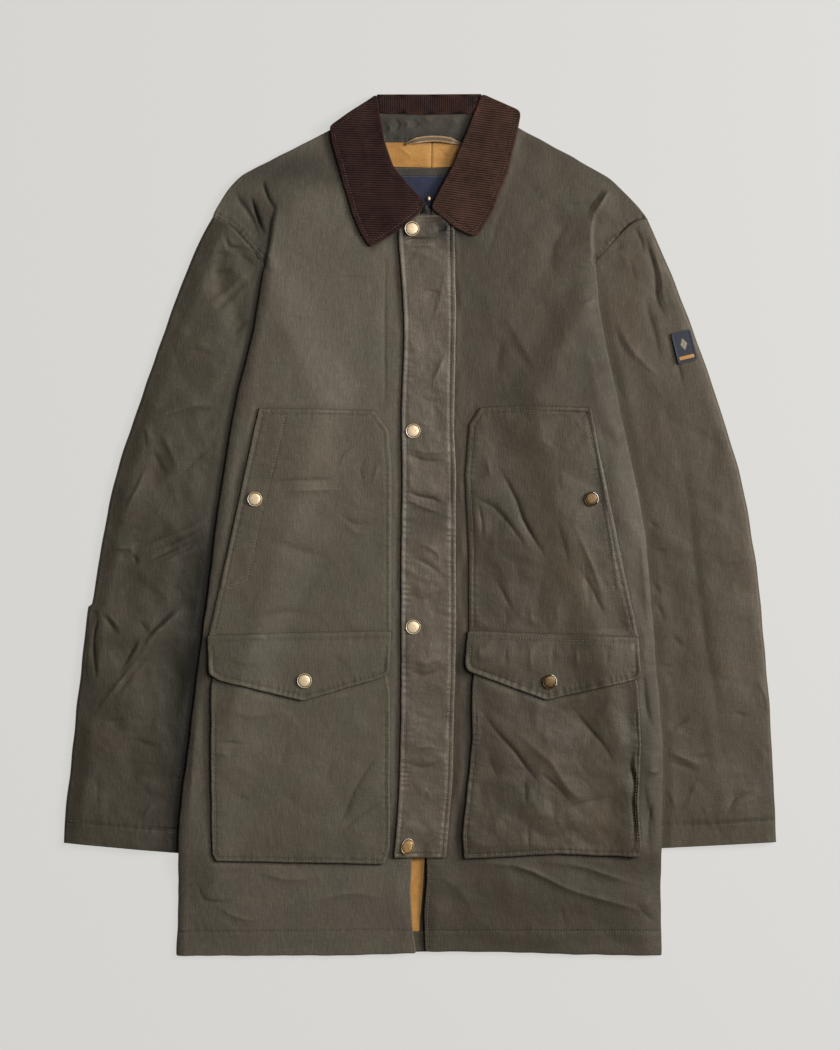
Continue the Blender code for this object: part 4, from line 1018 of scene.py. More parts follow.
bodyCreases = {
    "tucks": {"right": ((-158, 704), (-152.5, 731), (-150, 750), (-147, 761), (-144, 775)),
              "left": ((178.5, 706), (176.5, 736), (180.5, 760), (190, 778))},
    "drops": {"right": (3.0, 22.0), "left": (-1.6, 14.0)},      # how far down and how wide
    # patches of painted shade and painted light
    "shades": {"right": ((-178, 762, 24, 34, -0.36), (-130, 806, 60, 20, -0.5), (-71, 640, 25, 60, 0.06),
                         (-196, 89, 22, 20, -0.2), (-161, 724, 8, 32, -0.4), (-153, 762, 22, 34, -0.28),
                         (-173, 692, 12, 16, -0.44), (-92, 793, 14, 12, -0.2), (-210, 296, 13, 100, 0.32),
                         (-168, 500, 14, 35, 0.13), (-92, 562, 14, 12, -0.16), (-28, 650, 8, 60, -0.13)),
               "left": ((189, 585, 13, 90, -0.12), (133, 645, 22, 50, 0.2), (222, 500, 10, 70, 0.08),
                        (230, 205, 9, 85, -0.44), (71, 530, 12, 35, -0.2), (112, 540, 14, 35, 0.26),
                        (173, 610, 9, 55, -0.32), (36, 722, 7, 20, -0.45), (197, 450, 8, 60, -0.15),
                        (235, 70, 9, 50, -0.18), (133, 99, 50, 8, -0.16))},
    "right": (
        ((-147, 758, -151, 767, -156, 776, -159, 785, -161, 796), 3, -2.2),
        ((-173, 780, -170, 766, -165, 751, -157, 733), 3, -2.4),
        ((-191, 788, -185, 773, -177, 762, -169, 748, -163, 733), 6, -1.5),
        ((-188, 740, -183, 749), 2, 0.7), ((-185, 735, -177, 746), 2, 0.7),
        ((-181, 732, -173, 742), 2, 0.6), ((-174, 725, -168, 733), 2, 0.6),
        ((-85, 694, -54, 694), 2, -0.5), ((-146, 653, -112, 652), 2, -0.4),
        ((-35, 709, -35, 548), 1.5, -0.35), ((-76, 744, -49, 731), 8, -0.8),
        ((-232, 55, -210, 76, -176, 84), 4, 0.9), ((-228, 79, -220, 58, -188, 56), 3.5, -0.7),
        ((-209, 53, -186, 40, -161, 37), 4, 0.8), ((-173, 89, -133, 79, -92, 85), 6, 0.9),
        ((-122, 53, -71, 65, -31, 58), 6, 0.7), ((-225, 260, -232, 201, -235, 130), 3, 0.7),
        ((-216, 405, -221, 344, -218, 303), 3, 0.8),),
    "left": (
        ((196, 788, 182, 764, 175, 750), 4, 1.8), ((188, 786, 175, 768, 170, 756), 5, -1.2),
        ((146, 769, 163, 766, 181, 772), 8, -1.3), ((190, 731, 194, 724), 1.6, 0.9),
        ((194, 735, 199, 728), 1.6, 0.9), ((199, 738, 203, 732), 1.6, 0.8),
        ((74, 657, 89, 650, 109, 616, 122, 589), 9, 1), ((82, 636, 79, 589), 8, -0.9),
        ((136, 683, 136, 724, 156, 759), 8, -0.7), ((163, 663, 181, 673), 4, 0.6),
        ((95, 782, 82, 757, 67, 709), 6, -0.5), ((224, 446, 231, 364, 237, 303), 6, 1),
        ((226, 315, 230, 262, 235, 240, 243, 219), 4, -1),
        ((227, 191, 231, 160, 236, 138, 240, 113), 4, -0.9), ((231, 189, 246, 189), 4, 0.9),
        ((240, 169, 233, 140, 235, 109), 3, -1),
        ((39, 96, 100, 92, 155, 68, 210, 52, 246, 40), 5, 1.5),
        ((110, 98, 161, 93, 196, 82, 235, 70), 5, 1), ((13, 88, 41, 68, 57, 40), 9, 0.7),
        ((220, 53, 241, 33), 5, -0.9), ((143, 53, 149, 28), 3, -0.4),),
}


def makeBack():
    relief = reliefOf("back")

    def top(p, depth):
        return relief(p) + 0.2 * crumpled(p, 60) * ease(2.0, 14.0, depth)

    outline = evenly(backOutline(), 5.0)
    outline = outline + sideways(outline) * 1.1
    piece = clothSheet("backPanel", outline, waxedBack, top, wall=2.3, spacing=7.0, edge=1.0,
                       underSpacing=9.0)
    asCloth(piece, outline, "waxed_cotton", "back", ["paleFloor"])


# ---- fronts

def makeFront(side):
    other = 1.0 if side == "right" else -1.0
    relief = reliefOf("front_" + side)
    outline = frontOutline(side)
    over = [stormOutline(), handPockets["outlines"][side], cargoPockets["outlines"][side],
            pocketFlaps["outlines"][side], leafOutline(side)]
    fold = bodySide(side)
    armhole = smoothLine(armholeSeen[side], 5.0)
    right = side == "right"
    hemLine = stepLine(((-248, 25.5), (-7, 27)) if right else ((4, 26), (246, 25.5)))
    seams = [(hemLine, 0.25, 0.12), (insetLine(armhole, 1.6 * other), 0.5 if right else 0.15, 0.3)]
    if right:
        seams.append((stepLine(((-34.7, 712), (-36, 640), (-35.5, 568))), 0.14, 0.0))
        edgeLine = insetLine(armhole, 6.0)
    else:
        edgeLine = insetLine(stepLine(((6.6, 100), (6.8, 75), (5, 57), (3.8, 38), (5.3, 5))), 3.4)
    seams.append((edgeLine, 0.3, 0.3))
    creases = bodyCreases[side]
    tuck = smoothLine(bodyCreases["tucks"][side], 5.0)
    seed, rollWidth, rollDrop, crumple = (11, 11.0, 3.0, 0.45) if right else (31, 22.0, 3.8, 0.75)

    def top(p, depth):
        free = 1.0 - coverShare(p, over)
        roll = np.clip(1.0 - np.abs(alongLine(p, fold)[0]) / rollWidth, 0.0, 1.0)
        height = relief(p) - rollDrop * roll * roll
        loose = crumple * crumpled(p, seed) * ease(2.0, 16.0, depth)
        return height + free * (loose + creaseHeight(p, creases) + seamHeight(p, seams, seed)
                                + tuckHeight(p, tuck, *bodyCreases["drops"][side]))

    def tone(p, depth):
        hem = 1.0 - ease(20.0, 150.0, p[:, 1])
        leafShade = 1.0 - ease(0.0, 12.0, awayFrom(p, [leafOutline(side)], 12.0))
        # painted shadow beside the collar leaf on the right front; on the left front, painted shade along the
        # side fold and a painted highlight along the side edge
        if right:
            shade = -0.22 * leafShade
        else:
            x, up = p.T
            shade = -0.3 * ease(470.0, 540.0, up) * np.exp(-(alongLine(p, fold)[0] / 4.5) ** 2)
            sideHighlight = ease(100.0, 130.0, x) * ease(150.0, 250.0, up) * (1.0 - ease(690.0, 740.0, up))
            shade = shade + 0.34 * sideHighlight * np.exp(-(depth / 1.5) ** 2)
        stacked = contactShadeTone(p, over[:1] + over[3:]) + contactShadeTone(p, over[1:2], 0.26)
        stacked = stacked + contactShadeTone(p, over[2:3], 0.27 if right else 0.42)
        return (stacked + seamShadeTone(p, seams) + creaseShadeTone(p, creases) + shade - 0.06 * hem
                + lightAndShadePatches(p, bodyCreases["shades"][side]))

    material = waxedChestRight if right else waxedChestLeft
    piece = clothSheet("frontPanel" + side.title(), outline, material, top,
                       wall=2.3, spacing=1.8, edge=1.0, lip=0.5, ragged=0.5, covered=deepUnder(over),
                       rings=(1.9, 3.0, 4.4, 6.0, 7.7, 9.4, 11.2), undercut=0.9, toneOf=tone,
                       lines=contactRows(over) + stitchRows([seam[0] for seam in seams])
                       + creaseRows(creases))
    asCloth(piece, outline, "waxed_cotton", "front_" + side, ["backPanel"])
    sewAlong(piece.name, hemLine, wellInside(top))
    sewAlong(piece.name, edgeLine[1:-1], wellInside(top))


# ---- storm flap

def makeStormFlap():
    relief = reliefOf("storm_flap")
    outline = stormOutline()
    free, seam = stormLines()
    freeStitch, seamStitch = insetLine(free, 4.6), insetLine(seam, -5.2)
    bottomStitch = stepLine(((-23.5, 105.5), (23.5, 105.5)))
    seams = [(freeStitch, 0.3, 0.3), (seamStitch, 0.55, 0.25), (bottomStitch, 0.4, 0.15)]
    leaves = [leafOutline("right"), leafOutline("left")]

    def top(p, depth):
        shown = 1.0 - coverShare(p, leaves, 2.5)
        lift = 0.7 * (1.0 - ease(0.0, 7.0, np.abs(alongLine(p, free)[0])))
        loose = 0.62 * crumpled(p * np.array((1.0, 1.4)), 21, 2.0) * ease(1.0, 9.0, depth)
        folds = loose + creaseHeight(p, stormFlap["creases"]) + seamHeight(p, seams, 23)
        return relief(p) + lift + shown * folds

    def tone(p, depth):
        return (contactShadeTone(p, leaves) + seamShadeTone(p, seams, 0.22) + creaseShadeTone(p, stormFlap["creases"], 0.22)
                + lightAndShadePatches(p, stormFlap["shades"]))

    piece = clothSheet("stormFlapPanel", outline, waxedStorm, top, wall=2.2, spacing=1.5, edge=1.1,
                       ragged=0.4, covered=deepUnder(leaves), undercut=0.9, toneOf=tone,
                       lines=stitchRows([seam[0] for seam in seams]) + creaseRows(stormFlap["creases"]))
    asCloth(piece, outline, "waxed_cotton", "storm_flap", ["frontPanelRight", "frontPanelLeft"])
    sewAlong(piece.name, freeStitch[2:-1], wellInside(top))
    sewAlong(piece.name, seamStitch[2:-1], wellInside(top), pale=True)
    sewAlong(piece.name, bottomStitch, wellInside(top))


# ---- pockets

def sewnRim(outline, inset, step=5.0, low=-1e9, high=1e9, rounding=0):
    # the row of stitches inside an edge, between two heights, from one end of it to the other
    loop = evenly(outline, step, rounding)
    rim = loop + sideways(loop) * inset
    rim = rim[(rim[:, 1] > low) & (rim[:, 1] < high)]
    start = int(np.argmax(np.hypot(*np.diff(np.vstack([rim, rim[:1]]), axis=0).T))) + 1
    return np.roll(rim, -start, axis=0)


def makeHandPocket(side, material, seed, gain):
    outline = np.array(handPockets["outlines"][side], float)
    relief = reliefOf("hand_pocket_" + side)
    rim = sewnRim(outline, 5.2, low=334.0)
    if side == "right":
        facing = stepLine(((-137, 553), (-142.8, 526.3), (-152, 489.6), (-161.6, 451.4), (-169.7, 414),
                           (-176.5, 383.5), (-204, 376.4)))
    else:
        facing = stepLine(((168, 555), (176, 520), (184, 470), (193, 420), (199, 386), (207, 378)))
    seams = [(rim, 0.35, 0.24), (facing, 0.22 if side == "right" else 0.12, 0.12)]
    flap = [pocketFlaps["outlines"][side], cargoPockets["outlines"][side]]

    def top(p, depth):
        free = 1.0 - coverShare(p, flap)
        loose = gain * crumpled(p, seed) * ease(1.0, 12.0, depth)
        mouth = 1.0 - ease(0.0, 3.0, np.abs(alongLine(p, handPockets["mouths"][side])[0]))
        sewn = 1.0 - ease(0.0, 3.0, depth)
        edges = 0.4 * mouth - 0.5 * sewn * (1.0 - mouth)
        folds = edges + loose + creaseHeight(p, handPockets[side]) + seamHeight(p, seams, seed)
        return relief(p) + free * folds

    def tone(p, depth):
        return (contactShadeTone(p, flap) + seamShadeTone(p, seams) + creaseShadeTone(p, handPockets[side])
                + lightAndShadePatches(p, handPockets["shades"][side]) - 0.18 * np.exp(-depth / 0.7))

    piece = clothSheet("handPocket" + side.title(), outline, material, top, wall=1.6, spacing=1.8,
                       edge=0.9, ragged=0.35, covered=deepUnder(flap), undercut=0.9, toneOf=tone,
                       lines=stitchRows([rim, facing]) + contactRows(flap) + creaseRows(handPockets[side]))
    asCloth(piece, outline, "waxed_cotton", "hand_pocket_" + side, ["frontPanel" + side.title()])
    sewAlong(piece.name, rim, wellInside(top))
    sewAlong(piece.name, facing, wellInside(top), pale=side == "right")
    for x, up, turned in handPockets["tacks"][side]:
        barTack(piece.name, (x, up), turned, wellInside(top))


def makeCargoPocket(side, material, seed, gain):
    outline = np.array(cargoPockets["outlines"][side], float)
    relief = reliefOf("cargo_pocket_" + side, passes=2)
    rim = sewnRim(outline, 4.0, high=252.0)
    seams = [(rim, 0.35, 0.3)]
    flap = [pocketFlaps["outlines"][side]]

    def top(p, depth):
        free = 1.0 - coverShare(p, flap)
        loose = 1.15 * gain * crumpled(p, seed, 1.5) * ease(1.0, 14.0, depth)
        lip = (1.0 - ease(0.0, 5.0, depth)) * ease(104.0, 118.0, p[:, 1])
        puff = 1.0 * ease(0.0, 40.0, depth) + 0.4 * lip - 0.5
        return relief(p) + free * (loose + puff + creaseHeight(p, cargoPockets[side])
                                   + seamHeight(p, seams, seed))

    def tone(p, depth):
        return (contactShadeTone(p, flap) + seamShadeTone(p, seams) + creaseShadeTone(p, cargoPockets[side])
                + lightAndShadePatches(p, cargoPockets["shades"][side]))

    def wall(p, depth):
        return 3.4 - 1.8 * ease(0.5, 8.0, depth)

    piece = clothSheet("cargoPocket" + side.title(), outline, material, top, wall=wall, spacing=1.8,
                       edge=1.3, ragged=0.45, covered=deepUnder(flap), undercut=1.2, toneOf=tone,
                       lines=stitchRows([rim]) + contactRows(flap) + creaseRows(cargoPockets[side]))
    asCloth(piece, outline, "waxed_cotton", "cargo_pocket_" + side, ["frontPanel" + side.title()])
    sewAlong(piece.name, rim, wellInside(top))


def makePocketFlap(side, material, seed, gain):
    outline = np.array(pocketFlaps["outlines"][side], float)
    relief = reliefOf("pocket_flap_" + side, passes=3)
    rim = sewnRim(outline, 4.8, 4.0, high=319.0, rounding=1)
    topRow = stepLine(((-212, 322.5), (-33, 326)) if side == "right" else ((51, 326.5), (219, 321)))
    seams = [(rim, 0.35, 0.34), (topRow, 0.3, 0.1)]

    def top(p, depth):
        loose = 0.8 * gain * crumpled(p, seed) * ease(1.0, 10.0, depth)
        lift = 1.1 * (1.0 - ease(0.0, 7.0, depth)) * (1.0 - ease(300.0, 318.0, p[:, 1]))
        return relief(p) + lift + loose + creaseHeight(p, pocketFlaps[side]) + seamHeight(p, seams, seed)

    def tone(p, depth):
        return seamShadeTone(p, seams) + creaseShadeTone(p, pocketFlaps[side])

    piece = clothSheet("pocketFlap" + side.title(), outline, material, top, wall=1.9, spacing=1.7,
                       edge=1.0, rounding=3, undercut=0.9, toneOf=tone, ragged=0.4,
                       lines=stitchRows([rim, topRow]))
    asCloth(piece, outline, "waxed_cotton", "pocket_flap_" + side, ["cargoPocket" + side.title()])
    for line in (rim, topRow):
        sewAlong(piece.name, line, wellInside(top))


def makePockets(side):
    material = waxedPocketRight if side == "right" else waxedPocketLeft
    seed, gain = (41, 0.45) if side == "right" else (51, 0.9)
    makeHandPocket(side, material, seed, gain)
    makeCargoPocket(side, material, seed + 4, gain)
    makePocketFlap(side, material, seed + 8, gain)


# ---- sleeves

sleeves = {
    "step": 1.65,
    "across": 112,     # points over the top
    "below": 22,       # points underneath
    "wall": 1.9,
    "right": {
        "outerSlope": (0.5, 20.0),
        "loose": 1.3,
        "shadows": ((0.45, 20.0, 725.0, 690.0), (0.64, 54.0, 490.0, 410.0)),
        # patches of painted shade and painted light
        "shades": ((-236, 672, 16, 40, 0.08), (-262, 500, 24, 50, -0.06), (-328, 320, 14, 80, 0.14),
                   (-235, 385, 14, 70, -0.28), (-252, 270, 14, 90, -0.2)),
        "rows": ((-364, 116, -220, 103, 0), (-362, 150, -217, 137, 0), (-354, 222, -206, 205, 0),
                 (-347.5, 283, -191, 262, 0), (-339.5, 352, -172, 325, 0),
                 (-328, 405, -155, 380, 0),
                 (-312, 487, -132, 450, 0), (-290, 555, -116, 506, 0.05), (-264, 630, -109, 541, 0.35),
                 (-242, 691, -107, 556, 0.7), (-225, 731, -106, 565, 0.9), (-212, 755, -106, 570, 1.0)),
        "creases": (
        ((-200, 747, -195, 725, -178, 723, -166, 714), 3, -1.3),
        ((-202, 740, -198, 721, -181, 715), 3, 0.6), ((-186, 716, -176, 712, -169, 704), 3, -0.9),
        ((-211, 718, -195, 716), 5, -0.7), ((-215, 696, -202, 698, -188, 700), 7, -1.1),
        ((-167, 700, -193, 674, -215, 654), 6, -1.2), ((-173, 703, -198, 678, -219, 662), 6, 0.8),
        ((-174, 654, -193, 633), 5, -0.8), ((-239, 621, -222, 618, -206, 612), 2.5, -0.7),
        ((-235, 627, -214, 623), 4, 0.4), ((-202, 564, -230, 562, -262, 552, -280, 543), 3, 1),
        ((-202, 557, -224, 557, -259, 544), 5, -0.9), ((-282, 541, -280, 526, -278, 515), 3, -1),
        ((-273, 522, -266, 501, -253, 488), 6, -1.6), ((-264, 538, -250, 504, -247, 489), 6, 1.3),
        ((-206, 526, -230, 506, -248, 486), 3, -0.9),
        ((-278, 506, -285, 486, -297, 462, -301, 446), 2.5, 1.1),
        ((-253, 487, -248, 466, -244, 454), 4, 0.6), ((-214, 449, -242, 434, -285, 418), 4, 1.3),
        ((-219, 439, -245, 427, -283, 412), 5, -1.6), ((-216, 428, -247, 418, -287, 398), 3, -1.4),
        ((-224, 419, -247, 409, -275, 397), 4, 0.8), ((-318, 415, -297, 417, -291, 409), 3, 1.1),
        ((-293, 412, -288, 399), 3, -1.4), ((-226, 425, -244, 411), 3, -0.8),
        ((-325, 352, -306, 326), 2.5, -1.3), ((-322, 355, -303, 330), 2.5, 0.8),
        ((-286, 343, -276, 329), 2.5, -1.4), ((-239, 358, -259, 341, -275, 325, -287, 303), 3, 1.6),
        ((-245, 360, -265, 342, -282, 323), 3, -1.4), ((-285, 329, -302, 298, -309, 285), 2.5, -1.2),
        ((-282, 327, -299, 295), 2.5, 0.9), ((-279, 317, -297, 293, -317, 267, -333, 245), 2.5, 1.2),
        ((-275, 313, -293, 289, -314, 262), 3, -0.9), ((-338, 351, -327, 351), 2, -1.6),
        ((-327, 351, -333, 325, -332, 295), 2.2, -2.4), ((-333, 325, -330, 279), 2, -1.7),
        ((-336, 344, -338, 313, -340, 272), 3, 0.8), ((-295, 224, -279, 217, -262, 214), 4, -1.1),
        ((-323, 240, -297, 243), 4, -0.8), ((-329, 185, -329, 147), 2, -0.5),
        ((-271, 159, -285, 137), 3, 0.7), ((-277, 181, -274, 164), 3, 0.5),),
    },
    "left": {
        "outerSlope": (0.16, 10.0),
        "loose": 0.9,
        "shadows": ((0.08, 14.0, 540.0, 620.0),),     # how dark and wide, where each begins and is full
        # patches of painted shade and painted light
        "shades": ((206, 660, 18, 70, 0.24), (221, 558, 14, 50, 0.28), (238, 560, 8, 50, -0.12),
                   (255, 225, 24, 65, 0.26), (362, 165, 24, 55, -0.44), (234, 470, 12, 60, 0.22)),
        "rows": ((364, 117, 219.5, 109, 0), (362.5, 150, 217, 140, 0), (359, 222, 208, 205, 0),
                 (355, 283, 196, 262, 0), (348.5, 352, 182, 325, 0), (343, 405, 168, 380, 0),
                 (328, 487, 147, 450, 0), (308, 555, 132, 506, 0.05), (282.5, 630, 125, 541, 0.35),
                 (259, 691, 123, 556, 0.7), (242, 731, 122, 565, 0.9), (232, 754, 122, 570, 1.0)),
        "creases": (
        ((194, 721, 209, 728), 6, -1.2), ((186, 740, 196, 733), 5, -0.8),
        ((216, 750, 226, 730, 228, 716), 3, -1),
        ((227, 749, 232, 728, 240, 696, 242, 670, 257, 643), 3, -1.5),
        ((235, 747, 239, 721, 246, 695, 249, 672, 262, 648), 4, 1),
        ((258, 640, 261, 612, 266, 596, 269, 577), 2.5, -1), ((212, 719, 217, 700, 222, 684), 5, -0.8),
        ((234, 686, 232, 663, 241, 630, 247, 594), 6, -1.1),
        ((199, 661, 210, 630, 226, 608, 259, 580), 4, 0.9), ((196, 654, 206, 624, 224, 600), 4, -0.6),
        ((188, 645, 197, 596, 214, 557), 4, -1.4),
        ((234, 589, 250, 550, 270, 492, 280, 405, 292, 315, 304, 247, 309, 176), 14, -1.3),
        ((231, 448, 244, 436), 2.5, -0.9), ((233, 417, 255, 412), 3, -0.7),
        ((234, 388, 247, 367), 2.5, -1.2), ((238, 365, 247, 351, 250, 336), 2.5, -1.1),
        ((256, 329, 271, 314), 2.5, -1), ((242, 297, 259, 297), 3, -0.8),
        ((247, 287, 262, 289), 3, -0.5), ((302, 398, 314, 403, 335, 406), 5, 0.6),
        ((312, 375, 327, 380), 4, 0.4), ((335, 283, 345, 280, 352, 267, 355, 250, 347, 242), 3, 0.7),
        ((320, 250, 335, 245), 3, -0.8), ((250, 231, 266, 239, 277, 244), 3, -1.3),
        ((252, 224, 269, 233), 3, 0.6), ((249, 209, 261, 206, 290, 193), 4, 1),
        ((253, 201, 271, 194, 288, 187), 4, -0.8), ((277, 202, 302, 206), 4, -0.6),
        ((342, 167, 322, 163, 313, 144), 3, -1.2), ((345, 161, 328, 158, 319, 145), 3, 0.8),
        ((271, 148, 277, 165, 284, 181), 3, 0.6), ((285, 154, 291, 144), 3, -0.6),
        ((249, 181, 257, 162, 263, 148), 4, 0.7),),
    },
}


def makeSleeve(side):
    facts = sleeves[side]
    right = side == "right"
    turn = -1.0 if right else 1.0
    rows = smoothLine(facts["rows"], sleeves["step"])
    armhole = wholeArmhole(side, 2.0)
    run = runOf(armhole)
    run /= run[-1]
    t = np.linspace(0.0, 1.0, sleeves["across"])
    shares = 0.5 * t + 0.5 * (0.5 - 0.5 * np.cos(math.pi * t))      # closer together at both edges
    lowShares = np.linspace(0.0, 1.0, sleeves["below"] + 2)[1:-1]

    def flatRings(at):
        seam = pointsAt(at, run, armhole)
        chord = armhole[0] + (armhole[-1] - armhole[0]) * at[:, None]
        outer, inner, bow = rows[:, None, 0:2], rows[:, None, 2:4], rows[:, 4][:, None, None]
        return outer + (inner - outer) * at[None, :, None] + bow * (seam - chord)[None]

    topFlat = flatRings(shares)
    lowFlat = flatRings(lowShares)
    ups = rows[:, 1]
    ripple = 0.9 * lineNoise(ups, 34.0, 6 if right else 5)
    ripple *= ease(110.0, 150.0, ups) * (1.0 - ease(700.0, 750.0, ups))
    if right:      # the notch at the elbow
        ripple -= 3.2 * ease(357.0, 360.0, ups) * (1.0 - ease(362.0, 400.0, ups))
    topFlat[:, :, 0] += ripple[:, None] * (1.0 - shares) ** 6 * turn
    lowFlat[:, :, 0] += ripple[:, None] * (1.0 - lowShares) ** 6 * turn
    onward = topFlat[-1] - topFlat[-2]      # the last row goes under the front's edge
    topFlat[-1] += 0.7 * onward / np.hypot(onward[:, 0], onward[:, 1])[:, None]
    relief = reliefOf("sleeve_" + side)
    body = frontOutline(side)
    cuff = stepLine(((-364, 139.5), (-300, 133.5), (-219, 126)) if right
                    else ((364, 139.5), (290, 136.5), (218, 133)))
    seams = [(cuff, 0.7, 0.25)]
    width = np.hypot(*(rows[:, 0:2] - rows[:, 2:4]).T)

    def topAt(p):
        share = coverShare(p, [body], 34.0)
        close = coverShare(p, [body], 12.0)
        loose = facts["loose"] * crumpled(p, 71 if right else 81)
        pressed = 1.3 * close * (1.0 - ease(650.0, 710.0, p[:, 1]))
        return (relief(p) - pressed + (1.0 - share ** 2) * loose
                + (1.0 - close) * creaseHeight(p, facts["creases"]) + seamHeight(p, seams, 77))

    count = len(rows)
    flatTop = topFlat.reshape(-1, 2)
    fromOuter = (shares[None, :] * width[:, None]).ravel()
    fromInner = ((1.0 - shares[None, :]) * width[:, None]).ravel()
    edge = np.minimum(fromOuter, fromInner)
    bow = 1.0 - np.clip(edge / 3.4, 0.0, 1.0)
    amount, reach = facts["outerSlope"]
    slope = 1.0 - ease(0.0, reach, fromOuter)
    full = topAt(flatTop)
    floor = 2.7
    full = floor + (full - floor) * (1.0 - amount * slope)
    height = floor + (full - floor) * np.sqrt(np.maximum(1.0 - bow * bow, 0.0))
    heights = height.reshape(count, -1)
    heights[-1] -= 0.9
    lowEdge = np.minimum(lowShares[None, :], 1.0 - lowShares[None, :]) * width[:, None]
    lowBow = 1.0 - np.clip(lowEdge / 4.0, 0.0, 1.0)
    lowHeights = floor * (1.0 - np.sqrt(np.maximum(1.0 - lowBow * lowBow, 0.0)))

    outerRing = np.concatenate([np.dstack([topFlat, heights]), np.dstack([lowFlat, lowHeights])[:, ::-1]],
                               axis=1)
    wall = sleeves["wall"]
    insideLow = lowHeights + wall * 0.8
    insideTop = np.maximum(np.minimum(heights - wall, heights * 0.62), insideLow.min() + 0.4)
    shrink = (1.0 - 3.4 / width)[:, None, None]
    centre = 0.5 * (topFlat[:, :1] + topFlat[:, -1:])
    innerRing = np.concatenate([np.dstack([centre + (topFlat - centre) * shrink, insideTop]),
                                np.dstack([centre + (lowFlat - centre) * shrink, insideLow])[:, ::-1]],
                               axis=1)
    ring = outerRing.shape[1]
    picked = list(range(0, count - 1, 5)) + [count - 1]
    points = np.vstack([outerRing.reshape(-1, 3), innerRing[picked].reshape(-1, 3)])
    faces = []

    def bridge(first, second, flip):
        for i in range(ring):
            j = (i + 1) % ring
            face = (first + i, first + j, second + j, second + i)
            faces.append(face[::-1] if flip else face)

    for k in range(count - 1):
        bridge(k * ring, (k + 1) * ring, not right)
    start = count * ring
    for k in range(len(picked) - 1):
        bridge(start + k * ring, start + (k + 1) * ring, right)
    bridge(start, 0, not right)
    bridge((count - 1) * ring, start + (len(picked) - 1) * ring, not right)
    gridFaces = []
    across = len(shares)
    for k in range(count - 1):
        for i in range(across - 1):
            a = k * across + i
            gridFaces += [(a, a + 1, a + across), (a + 1, a + across + 1, a + across)]
    wear = np.zeros((count, ring))
    wear[:-8, :across] = ridgeWearAndShade(height, gridFaces).reshape(count, across)[:-8]
    allWearAndShade = np.concatenate([wear.ravel(), np.zeros(len(picked) * ring)])
    tone = np.zeros((count, ring))
    shade = lightAndShadePatches(flatTop, facts["shades"])
    for dark, wide, begin, whole in facts["shadows"]:
        full = np.clip((flatTop[:, 1] - begin) / (whole - begin), 0.0, 1.0)
        shade = shade - dark * full * coverShare(flatTop, [body], wide)
    tone[:, :across] = (seamShadeTone(flatTop, seams, 0.45) + creaseShadeTone(flatTop, facts["creases"])
                        + shade).reshape(count, across)
    allTone = np.concatenate([tone.ravel(), np.zeros(len(picked) * ring)])
    material = waxedSleeveRight if right else waxedSleeveLeft
    piece = makePiece("sleeve" + side.title(), points, faces, [material], allWearAndShade, tone=allTone)
    length = float(np.sum(np.hypot(*np.diff(rows[:, 0:2], axis=0).T))) * mm
    steps = np.hypot(*np.diff(0.5 * (rows[:, 0:2] + rows[:, 2:4]), axis=0).T)
    area = 2.0 * float(np.sum(0.5 * (width[1:] + width[:-1]) * steps)) * 1e-6
    broad = 2.0 * float(width.max()) * mm
    asSheet(piece, "waxed_cotton", "sleeve_" + side, broad, length, area, ["paleFloor"])
    sewAlong(piece.name, cuff[1:-1], topAt)


# ---- collar

collarCloth = {
    "pitch": 2.35,
    "height": 0.46,
    "wall": 2.8,
    "turn": {"right": -2.0, "left": -7.0},      # degrees
    "notch": {"right": ((-50.8, 724), (-44.9, 726.5), (-22.7, 740), (0.4, 759), (5.9, 769)),
              "left": ((53.8, 734.7), (51, 736), (34.7, 744), (18, 758), (11.2, 763))},
    "right": (((-62, 846, -54, 815, -45, 790), 7.0, 0.7), ((-79, 800, -66, 770, -57, 745), 6.0, -0.5)),
    "left": (((23, 782, 36, 800, 49, 821), 6.0, -0.9), ((29, 765, 43, 776, 60, 782), 5.0, -0.6),
             ((70, 848, 66, 820, 58, 795), 7.0, 0.6)),     # creases
}


def wales(p, turn, pitch):
    # from -1 in the grooves to 0 on the ridges of the corduroy
    across = -math.sin(turn) * p[:, 0] + math.cos(turn) * p[:, 1]
    across = across + 0.5 * latticeNoise(p, 30.0, 91)
    return -(np.abs(np.mod(across / pitch, 1.0) - 0.5) * 2.0) ** 2.2


def waleLightAndShade(turn, pitch):
    # painted shade in the grooves of the wales and painted light on their ridges
    def wear(p):
        return 0.3 + 0.62 * wales(p, turn, pitch) + 0.08 * latticeNoise(p, 5.0, 93)
    return wear


